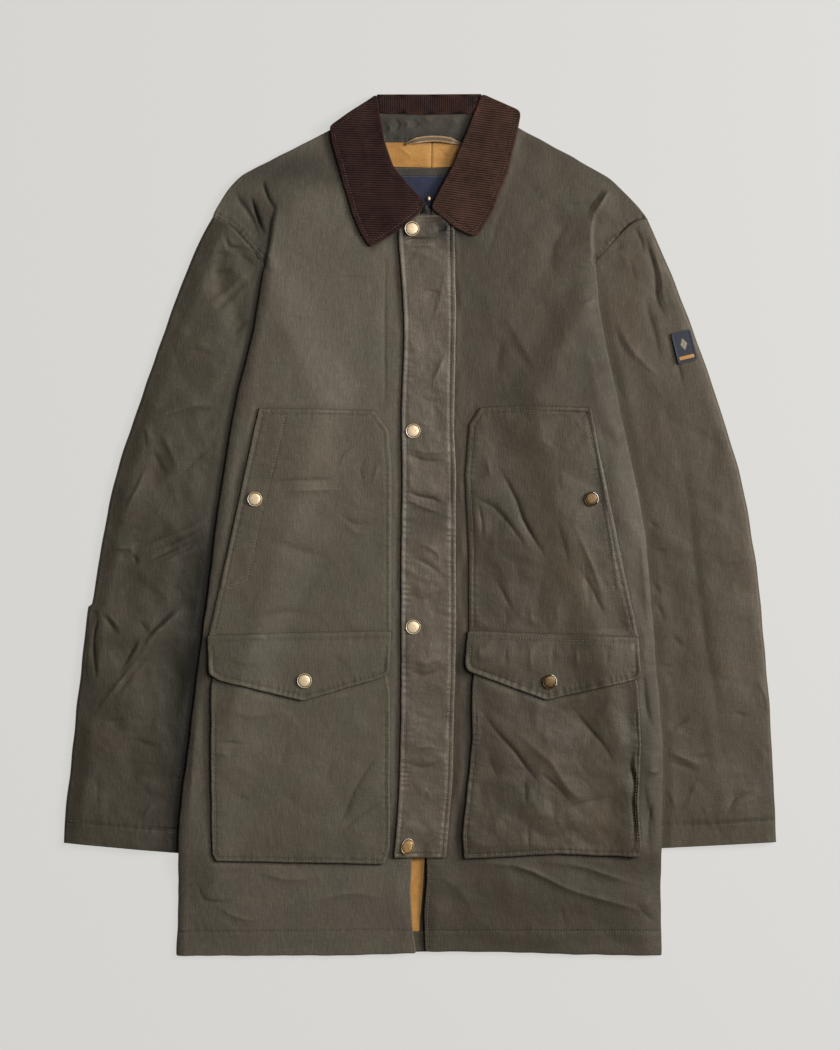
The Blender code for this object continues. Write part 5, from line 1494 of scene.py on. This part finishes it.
def makeLeaf(side):
    outline = leafOutline(side)
    relief = reliefOf("collar_leaf_" + side, cell=3.0, passes=4)
    rows = collarLeaves[side]
    outer = smoothLine([(row[1], row[0]) for row in rows[2:]], 4.0)
    inner = smoothLine([(row[2], row[0]) for row in rows], 4.0)
    turn = math.radians(collarCloth["turn"][side])
    other, short = (1.0, 2) if side == "right" else (-1.0, 1)
    notch = insetLine(smoothLine(collarCloth["notch"][side], 4.0), 4.8 * other)
    stitch = np.vstack([insetLine(outer, 5.0 * other)[:-2], notch[short:-short]])
    seams = [(stitch, 0.55, 0.12)]
    middle = np.array(outline, float).mean(axis=0)

    def top(p, depth):
        inward = middle - p
        inward *= (3.2 * (1.0 - ease(0.0, 5.0, depth)) / np.hypot(inward[:, 0], inward[:, 1]))[:, None]
        roll = 1.6 * np.exp(-(np.abs(alongLine(p, inner)[0]) / 9.0) ** 2) * ease(790.0, 830.0, p[:, 1])
        soft = 0.5 * crumpled(p, 95) * ease(2.0, 12.0, depth)
        ridges = collarCloth["height"] * wales(p, turn, collarCloth["pitch"]) * ease(0.8, 3.2, depth)
        return (relief(p + inward) + roll + soft + ridges + seamHeight(p, seams, 97)
                + creaseHeight(p, collarCloth[side]))

    def tone(p, depth):
        return seamShadeTone(p, seams, 0.35) + creaseShadeTone(p, collarCloth[side]) + 0.3 * np.exp(-depth / 1.2)

    def wear(p):
        inside = ease(1.0, 4.0, distanceTo(p, outline, True))      # the edge is turned over and plain
        return 0.11 + inside * (waleLightAndShade(turn, collarCloth["pitch"])(p) - 0.11)

    material = corduroy if side == "right" else corduroyLit
    piece = clothSheet("collarLeaf" + side.title(), outline, material, top, wall=collarCloth["wall"],
                       spacing=2.0,
                       edge=1.3, rounding=3, weave=(turn, 2.6, collarCloth["pitch"] / 6.0), ragged=0.12,
                       wearAndShadeOf=wear, toneOf=tone)
    asCloth(piece, outline, "corduroy", "collar_leaf_" + side,
            ["frontPanel" + side.title(), "collarStandBand"])
    sewAlong(piece.name, stitch, wellInside(top, 0.25))


def makeCollarBand():
    crestPitch, upright = 2.15, math.radians(90.0)
    crest = joined(((-44.9, 880.4), (-43.2, 876.8), (-41.2, 861), (7, 859.5), (54.6, 860.4), (56.8, 864),
                    (60.6, 876.8), (63.9, 880.9), (7, 880.4)))
    relief = reliefOf("collar_crest", cell=3.0, passes=3)

    def top(p, depth):
        ridges = 0.45 * wales(p, upright, crestPitch) * ease(0.0, 1.2, depth)
        arch = 1.1 * np.sin(math.pi * np.clip((p[:, 1] - 859.5) / 21.0, 0.0, 1.0))
        return relief(p) + ridges + arch

    piece = clothSheet("collarCrestBand", crest, corduroy, top, wall=2.6, spacing=2.0, edge=1.2,
                       weave=(upright, 2.4, crestPitch / 6.0), wearAndShadeOf=waleLightAndShade(upright, crestPitch))
    asCloth(piece, crest, "corduroy", "collar_crest", ["collarStandBand", "collarFallBehind"])

    behind = joined(((-92.4, 847.6), (-74, 861), (-49.5, 876.8), (-45, 880.4), (7, 880.4), (64, 880.9),
                     (73, 876.8), (101.6, 864), (102.9, 860.4), (100, 844), (97, 836), (86, 821), (7, 816),
                     (-77, 821), (-88, 836)))
    behindRelief = reliefOf("collar_fall_back", cell=4.0, passes=2)
    loop = evenly(behind, 3.0)
    loop = loop + sideways(loop) * 0.8
    piece = clothSheet("collarFallBehind", loop, corduroy, lambda p, depth: behindRelief(p), wall=2.1,
                       spacing=5.0, edge=1.0)
    asCloth(piece, behind, "corduroy", "collar_fall_back", ["paleFloor"])

    stand = joined(((-7, 771), (-22.5, 781), (-39, 809), (-46.5, 835), (-52, 855), (-34, 868), (7, 868),
                    (49, 868),
                    (67, 855), (60.5, 835), (48.5, 809), (31.5, 781), (16, 771), (14.5, 774), (31, 801),
                    (46, 831.3), (-39.3, 831.3), (-26.5, 801), (-13.5, 787), (-4, 774)))
    standRelief = reliefOf("collar_stand", cell=3.0, passes=3)
    standCreases = (((-36, 853, -30, 846, -33, 838), 2.5, 0.9), ((-28, 857, -21, 850, -25, 841), 3.0, -0.9),
                    ((-20, 856, -12, 851, -16, 843), 2.5, 0.8), ((-10, 857, -2, 850, -8, 845), 2.5, -0.6),
                    ((2, 858, 14, 852), 3.0, 0.5), ((20, 856, 34, 846), 4.0, -0.5),
                    ((30, 858, 40, 850), 3.0, 0.5))
    standStitch = stepLine(((-38, 833.4), (44, 833.4)))
    standSeams = [(standStitch, 0.3, 0.3)]

    def standTop(p, depth):
        loose = 0.5 * crumpled(p, 99) * ease(1, 6, depth)
        return standRelief(p) + creaseHeight(p, standCreases) + loose + seamHeight(p, standSeams, 101)

    def standTone(p, depth):
        # a painted shadow under the hanger loop, and painted shade in the creases and along the stitching
        rim = 0.22 * np.exp(-((p[:, 1] - 857.6) / 1.2) ** 2)
        return (rim + creaseShadeTone(p, standCreases, 0.22) + seamShadeTone(p, standSeams, 0.45)
                + lightAndShadePatches(p, ((4, 836, 36, 7, -0.6),)))

    piece = clothSheet("collarStandBand", stand, facingCloth, standTop, wall=2.2, spacing=1.4, edge=0.9,
                       rounding=0,
                       toneOf=standTone, lines=creaseRows(standCreases) + stitchRows([standStitch]))
    asCloth(piece, stand, "waxed_facing", "collar_stand", ["neckLiningPanel", "collarFallBehind"])
    sewAlong(piece.name, standStitch, wellInside(standTop), 2.6)
    print("jacket: collar made")


# ---- inside of the neck and hem

def rectangleOf(left, bottom, right, top):
    return np.array(((left, bottom), (right, bottom), (right, top), (left, top)), float)


def makeInside():
    lining = joined(((-47, 806.8), (-20, 806.2), (11, 805.4), (34, 806.4), (53, 806.8), (53, 831.3),
                     (-47, 831.3)))
    relief = reliefOf("neck_lining", cell=3.0)
    centreSeam = stepLine(((11.7, 804), (12.2, 832)))
    liningCreases = (((-24, 829, -10, 818, -6, 810), 3.0, 0.5), ((18, 826, 30, 815), 3.0, -0.4))

    def liningTop(p, depth):
        groove = seamHeight(p, [(centreSeam, 0.5, 0.15)], 103)
        return relief(p) + 0.5 * crumpled(p, 105) * ease(0.5, 5, depth) + groove + creaseHeight(p,
                                                                                                liningCreases)

    def liningTone(p, depth):
        # painted shade along the centre seam and a painted shadow under the hanger loop at the top
        line = 0.6 * np.exp(-(alongLine(p, centreSeam)[0] / 0.55) ** 2)
        middle = 0.45 * np.exp(-((p[:, 0] - 9.0) / 21.0) ** 4)
        topShade = (0.4 + middle) * np.exp(-(831.3 - p[:, 1]) / 1.6)
        return creaseShadeTone(p, liningCreases, 0.2) - line - topShade

    piece = clothSheet("neckLiningPanel", lining, liningCloth, liningTop, wall=1.2, spacing=1.4, edge=0.6,
                       lines=stitchRows([centreSeam]) + creaseRows(liningCreases), toneOf=liningTone)
    asCloth(piece, lining, "lining", "neck_lining", ["backPanel"])

    hemLining = np.array(((-16, 25.5), (-0.8, 25.5), (-0.1, 40), (1.2, 48), (2.3, 63), (3.6, 80), (4.8, 98),
                          (9, 132), (-16, 132)), float)
    for name, node, outline, material, slotName, seed in (
            ("neckFacingBand", "neck_facing", rectangleOf(-40, 742, 50, 806.8), facingCloth, "waxed_facing",
             107),
            ("neckLabelPatch", "neck_label", rectangleOf(-20, 765, 42, 797.6), labelCloth, "label", 109),
            ("hemLiningPanel", "hem_lining", hemLining, liningCloth, "lining", 111),
            ("hemFacingBand", "hem_facing", rectangleOf(-14, 5.5, 12.5, 25.5), waxedBack, "waxed_facing",
             113)):
        flatRelief = reliefOf(node, cell=3.0)

        def top(p, depth, flatRelief=flatRelief, seed=seed):
            return flatRelief(p) + 0.35 * crumpled(p * 1.6, seed) * ease(0.5, 6, depth)

        wall, under = (0.7, "neckFacingBand") if node == "neck_label" else (1.2, "backPanel")
        piece = clothSheet(name, outline, material, top, wall=wall, spacing=2.0, edge=0.5, rounding=0)
        asCloth(piece, outline, slotName, node, [under])
    for name, node, ends in (("neckFacingBand", "neck_facing", ((-36, 804.6), (46, 804.6))),
                             ("neckLabelPatch", "neck_label", ((-19, 796.4), (41, 796.4)))):
        flatRelief = reliefOf(node, cell=3.0)
        sewAlong(name, stepLine(ends), lambda p, flatRelief=flatRelief: flatRelief(p) + 0.1, 2.4)

    chainRelief = reliefOf("zip_chain", cell=4.0)
    chain = rectangleOf(0.4, 142, 10.6, 764)

    def chainTop(p, depth):
        teeth = 0.45 * np.cos(2.0 * math.pi * p[:, 1] / 3.0) * np.exp(-((p[:, 0] - 5.5) / 2.6) ** 2)
        return chainRelief(p) - 0.3 + teeth

    piece = clothSheet("zipChainStrip", chain, zipTape, chainTop, wall=1.2, spacing=1.5, edge=0.5, rounding=0,
                       covered=deepUnder([rectangleOf(-30, 90, 40, 752)], 0.5))
    asCloth(piece, chain, "zip", "zip_chain", ["backPanel"])
    print("jacket: neck and hem linings made")


def makeHangerLoop():
    facts = {"ends": ((-15.0, 828.6), (42.0, 828.6)), "rise": 6.0, "width": 6.4, "steps": 60}
    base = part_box("hanger_loop")[0].z * 1000 + 0.3
    (x1, up1), (x2, up2) = facts["ends"]
    profile = ((-1.0, 0.0), (-0.92, 0.55), (-0.62, 0.8), (-0.5, 0.55), (0.0, 0.75), (0.5, 0.55), (0.62, 0.8),
               (0.92, 0.55), (1.0, 0.0), (0.0, -0.15))
    points, faces, slots = [], [], []
    n = len(profile)
    for k in range(facts["steps"] + 1):
        t = k / facts["steps"]
        bow = math.sin(math.pi * t) ** 0.7
        x, up = x1 + (x2 - x1) * t, up1 + (up2 - up1) * t + facts["rise"] * bow
        slope = facts["rise"] * 0.8 * math.pi * math.cos(math.pi * t) / (x2 - x1)
        size = math.hypot(1.0, slope)
        half = 0.5 * facts["width"] * (0.35 + 0.65 * min(1.0, 5.0 * t, 5.0 * (1.0 - t)))
        drop = 2.4 * (1.0 - min(1.0, 6.0 * t, 6.0 * (1.0 - t)))
        for across, rise in profile:
            points.append((x - slope / size * across * half, up + across * half / size,
                           base + rise * 1.2 - drop))
    for k in range(facts["steps"]):
        for i in range(n):
            j = (i + 1) % n
            faces.append((k * n + i, k * n + j, (k + 1) * n + j, (k + 1) * n + i))
            slots.append(1 if i in (3, 4) else 0)
    faces.append(tuple(range(n))[::-1])
    faces.append(tuple(facts["steps"] * n + i for i in range(n)))
    slots += [0, 0]
    piece = makePiece("hangerLoopTape", points, faces, [tanTape, oliveTape], np.zeros(len(points)), slots)
    bpy.context.view_layer.objects.active = piece
    piece.select_set(True)
    bpy.ops.object.mode_set(mode="EDIT")
    bpy.ops.mesh.select_all(action="SELECT")
    bpy.ops.mesh.normals_make_consistent(inside=False)
    bpy.ops.object.mode_set(mode="OBJECT")
    piece.select_set(False)
    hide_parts("hanger_loop")


# ---- snaps and slider

snaps = {
    "radius": 7.4,
    "rings": ((0.15, 0.4), (0.25, 0.12), (0.4, -0.3), (0.25, -0.5), (0.2, 0.0), (0.3, 0.55), (1.3, 0.28),
              (1.7, 0.14), (1.3, 0.03)),     # rim, groove and dome: each inset and rise
    "groove": (0.0059, 0.00655),
    "shine": {"bright": (-0.9, -0.44), "halfLit": (-0.5, 0.86), "dark": (0.94, 0.34)},
    "bright": ("snap_storm_1", "snap_storm_2", "snap_storm_3", "snap_hand_right", "snap_flap_right"),
    "halfLit": ("snap_storm_4",),
    "dark": ("snap_hand_left", "snap_flap_left"),
    "leans": {"bright": (0.0, 2.0), "dark": (0.0, 6.0), "halfLit": (0.0, -6.0)},
    "askew_size": (0.84, 1.14),      # this one stands askew and looks narrow
    "shifts": {"snap_storm_1": (0.0, -0.0012), "snap_storm_4": (0.0008, 0.0004)},
}


def pickTop(piece):
    # goes to edit mode with only the highest faces that look straight up selected
    bpy.ops.object.mode_set(mode="EDIT")
    bpy.ops.mesh.select_mode(type="FACE")
    bpy.ops.mesh.select_all(action="DESELECT")
    bpy.ops.object.mode_set(mode="OBJECT")
    mesh = piece.data
    top = max(v.co.z for v in mesh.vertices)
    for face in mesh.polygons:
        face.select = face.normal.z > 0.9 and all(mesh.vertices[v].co.z > top - 1e-5 for v in face.vertices)
    bpy.ops.object.mode_set(mode="EDIT")


def softEdges(piece, width, segments):
    bevel = piece.modifiers.new("softEdges", "BEVEL")
    bevel.width = width
    bevel.segments = segments
    bevel.limit_method = "ANGLE"
    bpy.ops.object.modifier_apply(modifier=bevel.name)
    piece.data.shade_smooth()


def asBrass(piece, *nodes):
    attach(piece, "root")
    if nodes:
        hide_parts(*nodes)


def named(name, size=(1.0, 1.0, 1.0)):
    # the primitive just added, at its own size and place
    piece = bpy.context.active_object
    piece.name = name
    piece.scale = size
    bpy.ops.object.transform_apply(location=True, rotation=True, scale=True)
    return piece


def makeSnapCap():
    bpy.ops.object.select_all(action="DESELECT")
    bpy.ops.mesh.primitive_cylinder_add(vertices=48, radius=snaps["radius"] * mm, depth=0.0012,
                                        location=(0.0, 0.0, 0.0006))
    cap = named("snapPattern")
    pickTop(cap)
    for inset, rise in snaps["rings"]:
        bpy.ops.mesh.inset(thickness=inset * mm, depth=0.0)
        bpy.ops.transform.translate(value=(0.0, 0.0, rise * mm))
    bpy.ops.object.mode_set(mode="OBJECT")
    softEdges(cap, 0.00012, 2)
    return cap


def makeSnaps():
    pattern = makeSnapCap()
    askew = Matrix.Rotation(math.radians(-17.0), 4, "Z") @ Matrix.Diagonal((*snaps["askew_size"], 1.0, 1.0))
    for shade, material in (("bright", brightBrass), ("halfLit", halfLitBrass), ("dark", darkBrass)):
        for node in snaps[shade]:
            low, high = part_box(node)
            centre = 0.5 * (low + high)
            mesh = pattern.data.copy()
            lean = snaps["leans"][shade]
            tilt = Euler((math.radians(lean[0]), math.radians(lean[1]), 0.0))
            lift = 0.0075 * abs(math.sin(math.radians(lean[1])))
            aside = snaps["shifts"].get(node, (0.0, 0.0))
            place = (Matrix.Translation((centre.x + aside[0], centre.y + aside[1], low.z - 0.0004 + lift))
                     @ tilt.to_matrix().to_4x4())
            for face in mesh.polygons:
                away = math.hypot(face.center.x, face.center.y)
                shine = face.center.x * snaps["shine"][shade][0] + face.center.y * snaps["shine"][shade][1]
                # groove faces take painted shade, and rim faces on the shine side a painted highlight
                if snaps["groove"][0] < away < snaps["groove"][1]:
                    face.material_index = 1
                elif away > 0.0064 and shine > 0.6 * away:
                    face.material_index = 2
            mesh.transform(place @ askew if shade == "halfLit" else place)
            for brass in (material, grooveShadeBrass, rimHighlightBrass):
                mesh.materials.append(brass)
            piece = bpy.data.objects.new(node.replace("snap_", "snapCap_"), mesh)
            scene.collection.objects.link(piece)
            asBrass(piece, node)
    bpy.data.objects.remove(pattern, do_unlink=True)
    print("jacket: snaps made")


def makeSlider():
    low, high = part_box("zip_slider")
    centre = 0.5 * (low + high)
    bpy.ops.object.select_all(action="DESELECT")
    bpy.ops.mesh.primitive_cube_add(size=1.0, location=(centre.x, centre.y, high.z - 0.0014))
    slider = named("zipSliderBody", (0.0056, 0.0078, 0.0024))
    pickTop(slider)
    bpy.ops.mesh.inset(thickness=0.0013, depth=0.0)
    bpy.ops.mesh.extrude_region_move(TRANSFORM_OT_translate={"value": (0.0, 0.0012, 0.0009)})
    bpy.ops.mesh.inset(thickness=0.0006, depth=0.0)
    bpy.ops.transform.translate(value=(0.0, 0.0008, 0.0004))
    bpy.ops.object.mode_set(mode="OBJECT")
    softEdges(slider, 0.0004, 3)
    slider.data.materials.append(shadedSliderBrass)
    asBrass(slider, "zip_slider")

    bpy.ops.object.select_all(action="DESELECT")
    bpy.ops.mesh.primitive_uv_sphere_add(segments=20, ring_count=12, radius=0.0017,
                                         location=(0.0091, (773.6 - middleUp) * mm, high.z - 0.0006))
    stop = named("zipTopStop", (0.9, 1.25, 0.7))
    stop.data.shade_smooth()
    stop.data.materials.append(brightBrass)
    asBrass(stop)


# ---- sleeve patch

def makePatch():
    facts = {"centre": (269.5, 622.5), "size": (20.5, 32.5), "turn": math.radians(14.0),
             "bar": (9.2, 12.8), "diamond": (3.6, 6.4), "diamondUp": -2.6, "margin": 2.6}
    c, s = math.cos(facts["turn"]), math.sin(facts["turn"])
    x0, up0 = facts["centre"]
    w, h = facts["size"][0] * 0.5, facts["size"][1] * 0.5
    corners = [(x0 + c * x - s * y, up0 + s * x + c * y) for x, y in ((-w, -h), (w, -h), (w, h), (-w, h))]
    barTop, barFoot = facts["bar"]
    relief = reliefOf("sleeve_patch", cell=2.0, passes=2)

    def localOf(p):
        # across the patch, down it, and how far out of the diamond
        q = p - np.array(facts["centre"])
        x, down = c * q[:, 0] + s * q[:, 1], s * q[:, 0] - c * q[:, 1]
        across, along = facts["diamond"]
        return x, down, np.abs(x) / across + np.abs(down - facts["diamondUp"]) / along

    def top(p, depth):
        rim = 0.35 * (1.0 - ease(1.2, 2.2, depth))
        x, down, out = localOf(p)
        bar = ease(barTop, barTop + 0.4, down) * (1.0 - ease(barFoot - 0.4, barFoot, down))
        diamond = 0.3 * (1.0 - ease(0.85, 1.0, out)) * (0.5 + 0.5 * ease(0.2, 0.5, np.abs(x)))
        return relief(p) + rim + 0.25 * bar * ease(2.0, 2.4, depth) + diamond

    outline = evenly(np.array(corners), 0.7, 12)
    piece = clothSheet("sleevePatchBadge", outline, patchCloth, top, wall=1.1, spacing=0.6, edge=0.5,
                       rounding=0, underSpacing=5.0)
    mesh = piece.data
    mesh.materials.append(mustardThread)
    mesh.materials.append(dimThread)
    x, down, out = localOf(np.array([(f.center.x * 1000, f.center.y * 1000
                                      + middleUp) for f in mesh.polygons]))
    upwards = np.array([f.normal.z > 0.2 for f in mesh.polygons])
    index = np.zeros(len(x), np.int32)
    index[upwards & (np.abs(x) < w - facts["margin"]) & (down > barTop) & (down < barFoot)] = 1
    index[upwards & (out < 1.0)] = 2
    mesh.polygons.foreach_set("material_index", index)
    asCloth(piece, outline, "patch", "sleeve_patch", ["sleeveLeft"])


# ---- topstitching

stitchArch = ((-0.12, -0.3, 0.5), (0.15, 0.14, 1.0), (0.5, 0.24, 1.0), (0.85, 0.14, 1.0),
              (1.12, -0.3, 0.5))     # share of its length, rise and width

def makeStitches():
    for pieceName, rows in sewing.items():
        points, faces, slots = [], [], []
        for line, heightOf, pitch, pale in rows:
            run = runOf(line)
            starts = np.arange(int(run[-1] / pitch)) * pitch + 0.3 * pitch
            a, b = pointsAt(starts, run, line), pointsAt(starts + 0.62 * pitch, run, line)
            for (ax, ay), (bx, by), ha, hb in zip(a, b, heightOf(a), heightOf(b)):
                dx, dy = bx - ax, by - ay
                size = math.hypot(dx, dy)
                nx, ny = -dy / size * 0.3, dx / size * 0.3
                first = len(points)
                for t, rise, wide in stitchArch:
                    x, y, z = ax + dx * t, ay + dy * t, ha + (hb - ha) * t + rise
                    points += [(x + nx * wide, y + ny * wide, z - 0.1), (x, y, z + 0.16 * wide),
                               (x - nx * wide, y - ny * wide, z - 0.1), (x, y, z - 0.3)]
                for k in range(4):
                    p = first + 4 * k
                    for i in range(4):
                        j = (i + 1) % 4
                        faces.append((p + j, p + i, p + 4 + i, p + 4 + j))
                faces.append((first, first + 1, first + 2, first + 3))
                faces.append((first + 19, first + 18, first + 17, first + 16))
                slots += [int(pale)] * 18
        onCollar = pieceName.startswith("collarLeaf")
        threads = [brownThread if onCollar else oliveThread, paleThread]
        piece = makePiece(pieceName + "Stitches", points, faces, threads, np.zeros(len(points)), slots)
    print("jacket: stitches made")


# ---- making it all

makeBack()
makeInside()
makeCollarBand()
for side in sides:
    makeFront(side)
print("jacket: fronts made")
makeStormFlap()
for side in sides:
    makePockets(side)
print("jacket: flap and pockets made")
for side in sides:
    makeSleeve(side)
print("jacket: sleeves made")
for side in sides:
    makeLeaf(side)
makeHangerLoop()
makeSnaps()
makeSlider()
makePatch()
makeStitches()
declareSheets()


# ---- floor, light and camera

studio = {
    "floorSize": 9.0,
    "floorColour": (216, 215, 211),
    "floorGlow": 0.86,
    # place, size, power and colour
    "lights": (("keyLight", (2.2, 0.6, 1.5), 0.9, 79.0, (1.0, 0.975, 0.94)),
               ("highLight", (1.15, 0.55, 2.6), 1.5, 43.0, (1.0, 0.985, 0.96))),
    "worldColour": (0.97, 0.98, 1.0, 1.0),
    "worldStrength": 0.05,
    "cameraHeight": 4.0,
    "sensor": 36.0,
    "frameHeight": 1.071,      # m, at the middle of the jacket's thickness
    "jacketMiddle": 0.010,
}


def makeFloor():
    bpy.ops.object.select_all(action="DESELECT")
    bpy.ops.mesh.primitive_plane_add(size=studio["floorSize"], location=(0.0, 0.0, -0.0002))
    floor = bpy.context.active_object
    floor.name = "paleFloor"
    material, _, shader = newMaterial("paleFloor")
    setInputs(shader, {"Base Color": (0.1, 0.1, 0.1, 1.0), "Roughness": 0.95, "Specular IOR Level": 0.05,
                       "Emission Color": screenColour(*studio["floorColour"]),
                       "Emission Strength": studio["floorGlow"]})
    floor.data.materials.append(material)
    floor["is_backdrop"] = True


def addSoftbox(name, place, size, power, colour):
    light = bpy.data.lights.new(name, "AREA")
    light.shape = "SQUARE"
    light.size = size
    light.energy = power
    light.color = colour
    lamp = bpy.data.objects.new(name, light)
    lamp.location = place
    lamp.rotation_mode = "QUATERNION"
    lamp.rotation_quaternion = (-Vector(place)).to_track_quat("-Z", "Y")
    scene.collection.objects.link(lamp)


makeFloor()
for name, place, size, power, colour in studio["lights"]:
    addSoftbox(name, place, size, power, colour)
world = bpy.data.worlds.new("paleStudio")
world.use_nodes = True
setInputs(world.node_tree.nodes["Background"], {"Color": studio["worldColour"],
                                                "Strength": studio["worldStrength"]})
scene.world = world
scene.view_settings.view_transform = "Standard"

cameraData = bpy.data.cameras.new("overheadCamera")
cameraData.sensor_width = studio["sensor"]
cameraData.lens = studio["sensor"] * (studio["cameraHeight"] - studio["jacketMiddle"]) / studio["frameHeight"]
cameraData.clip_end = 30.0
camera = bpy.data.objects.new("overheadCamera", cameraData)
camera.location = (0.0, 0.0, studio["cameraHeight"])
scene.collection.objects.link(camera)
scene.camera = camera
print("jacket: studio made")

triangles = sum(len(face.vertices) - 2 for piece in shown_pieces() for face in piece.data.polygons)
print("jacket:", triangles, "triangles")
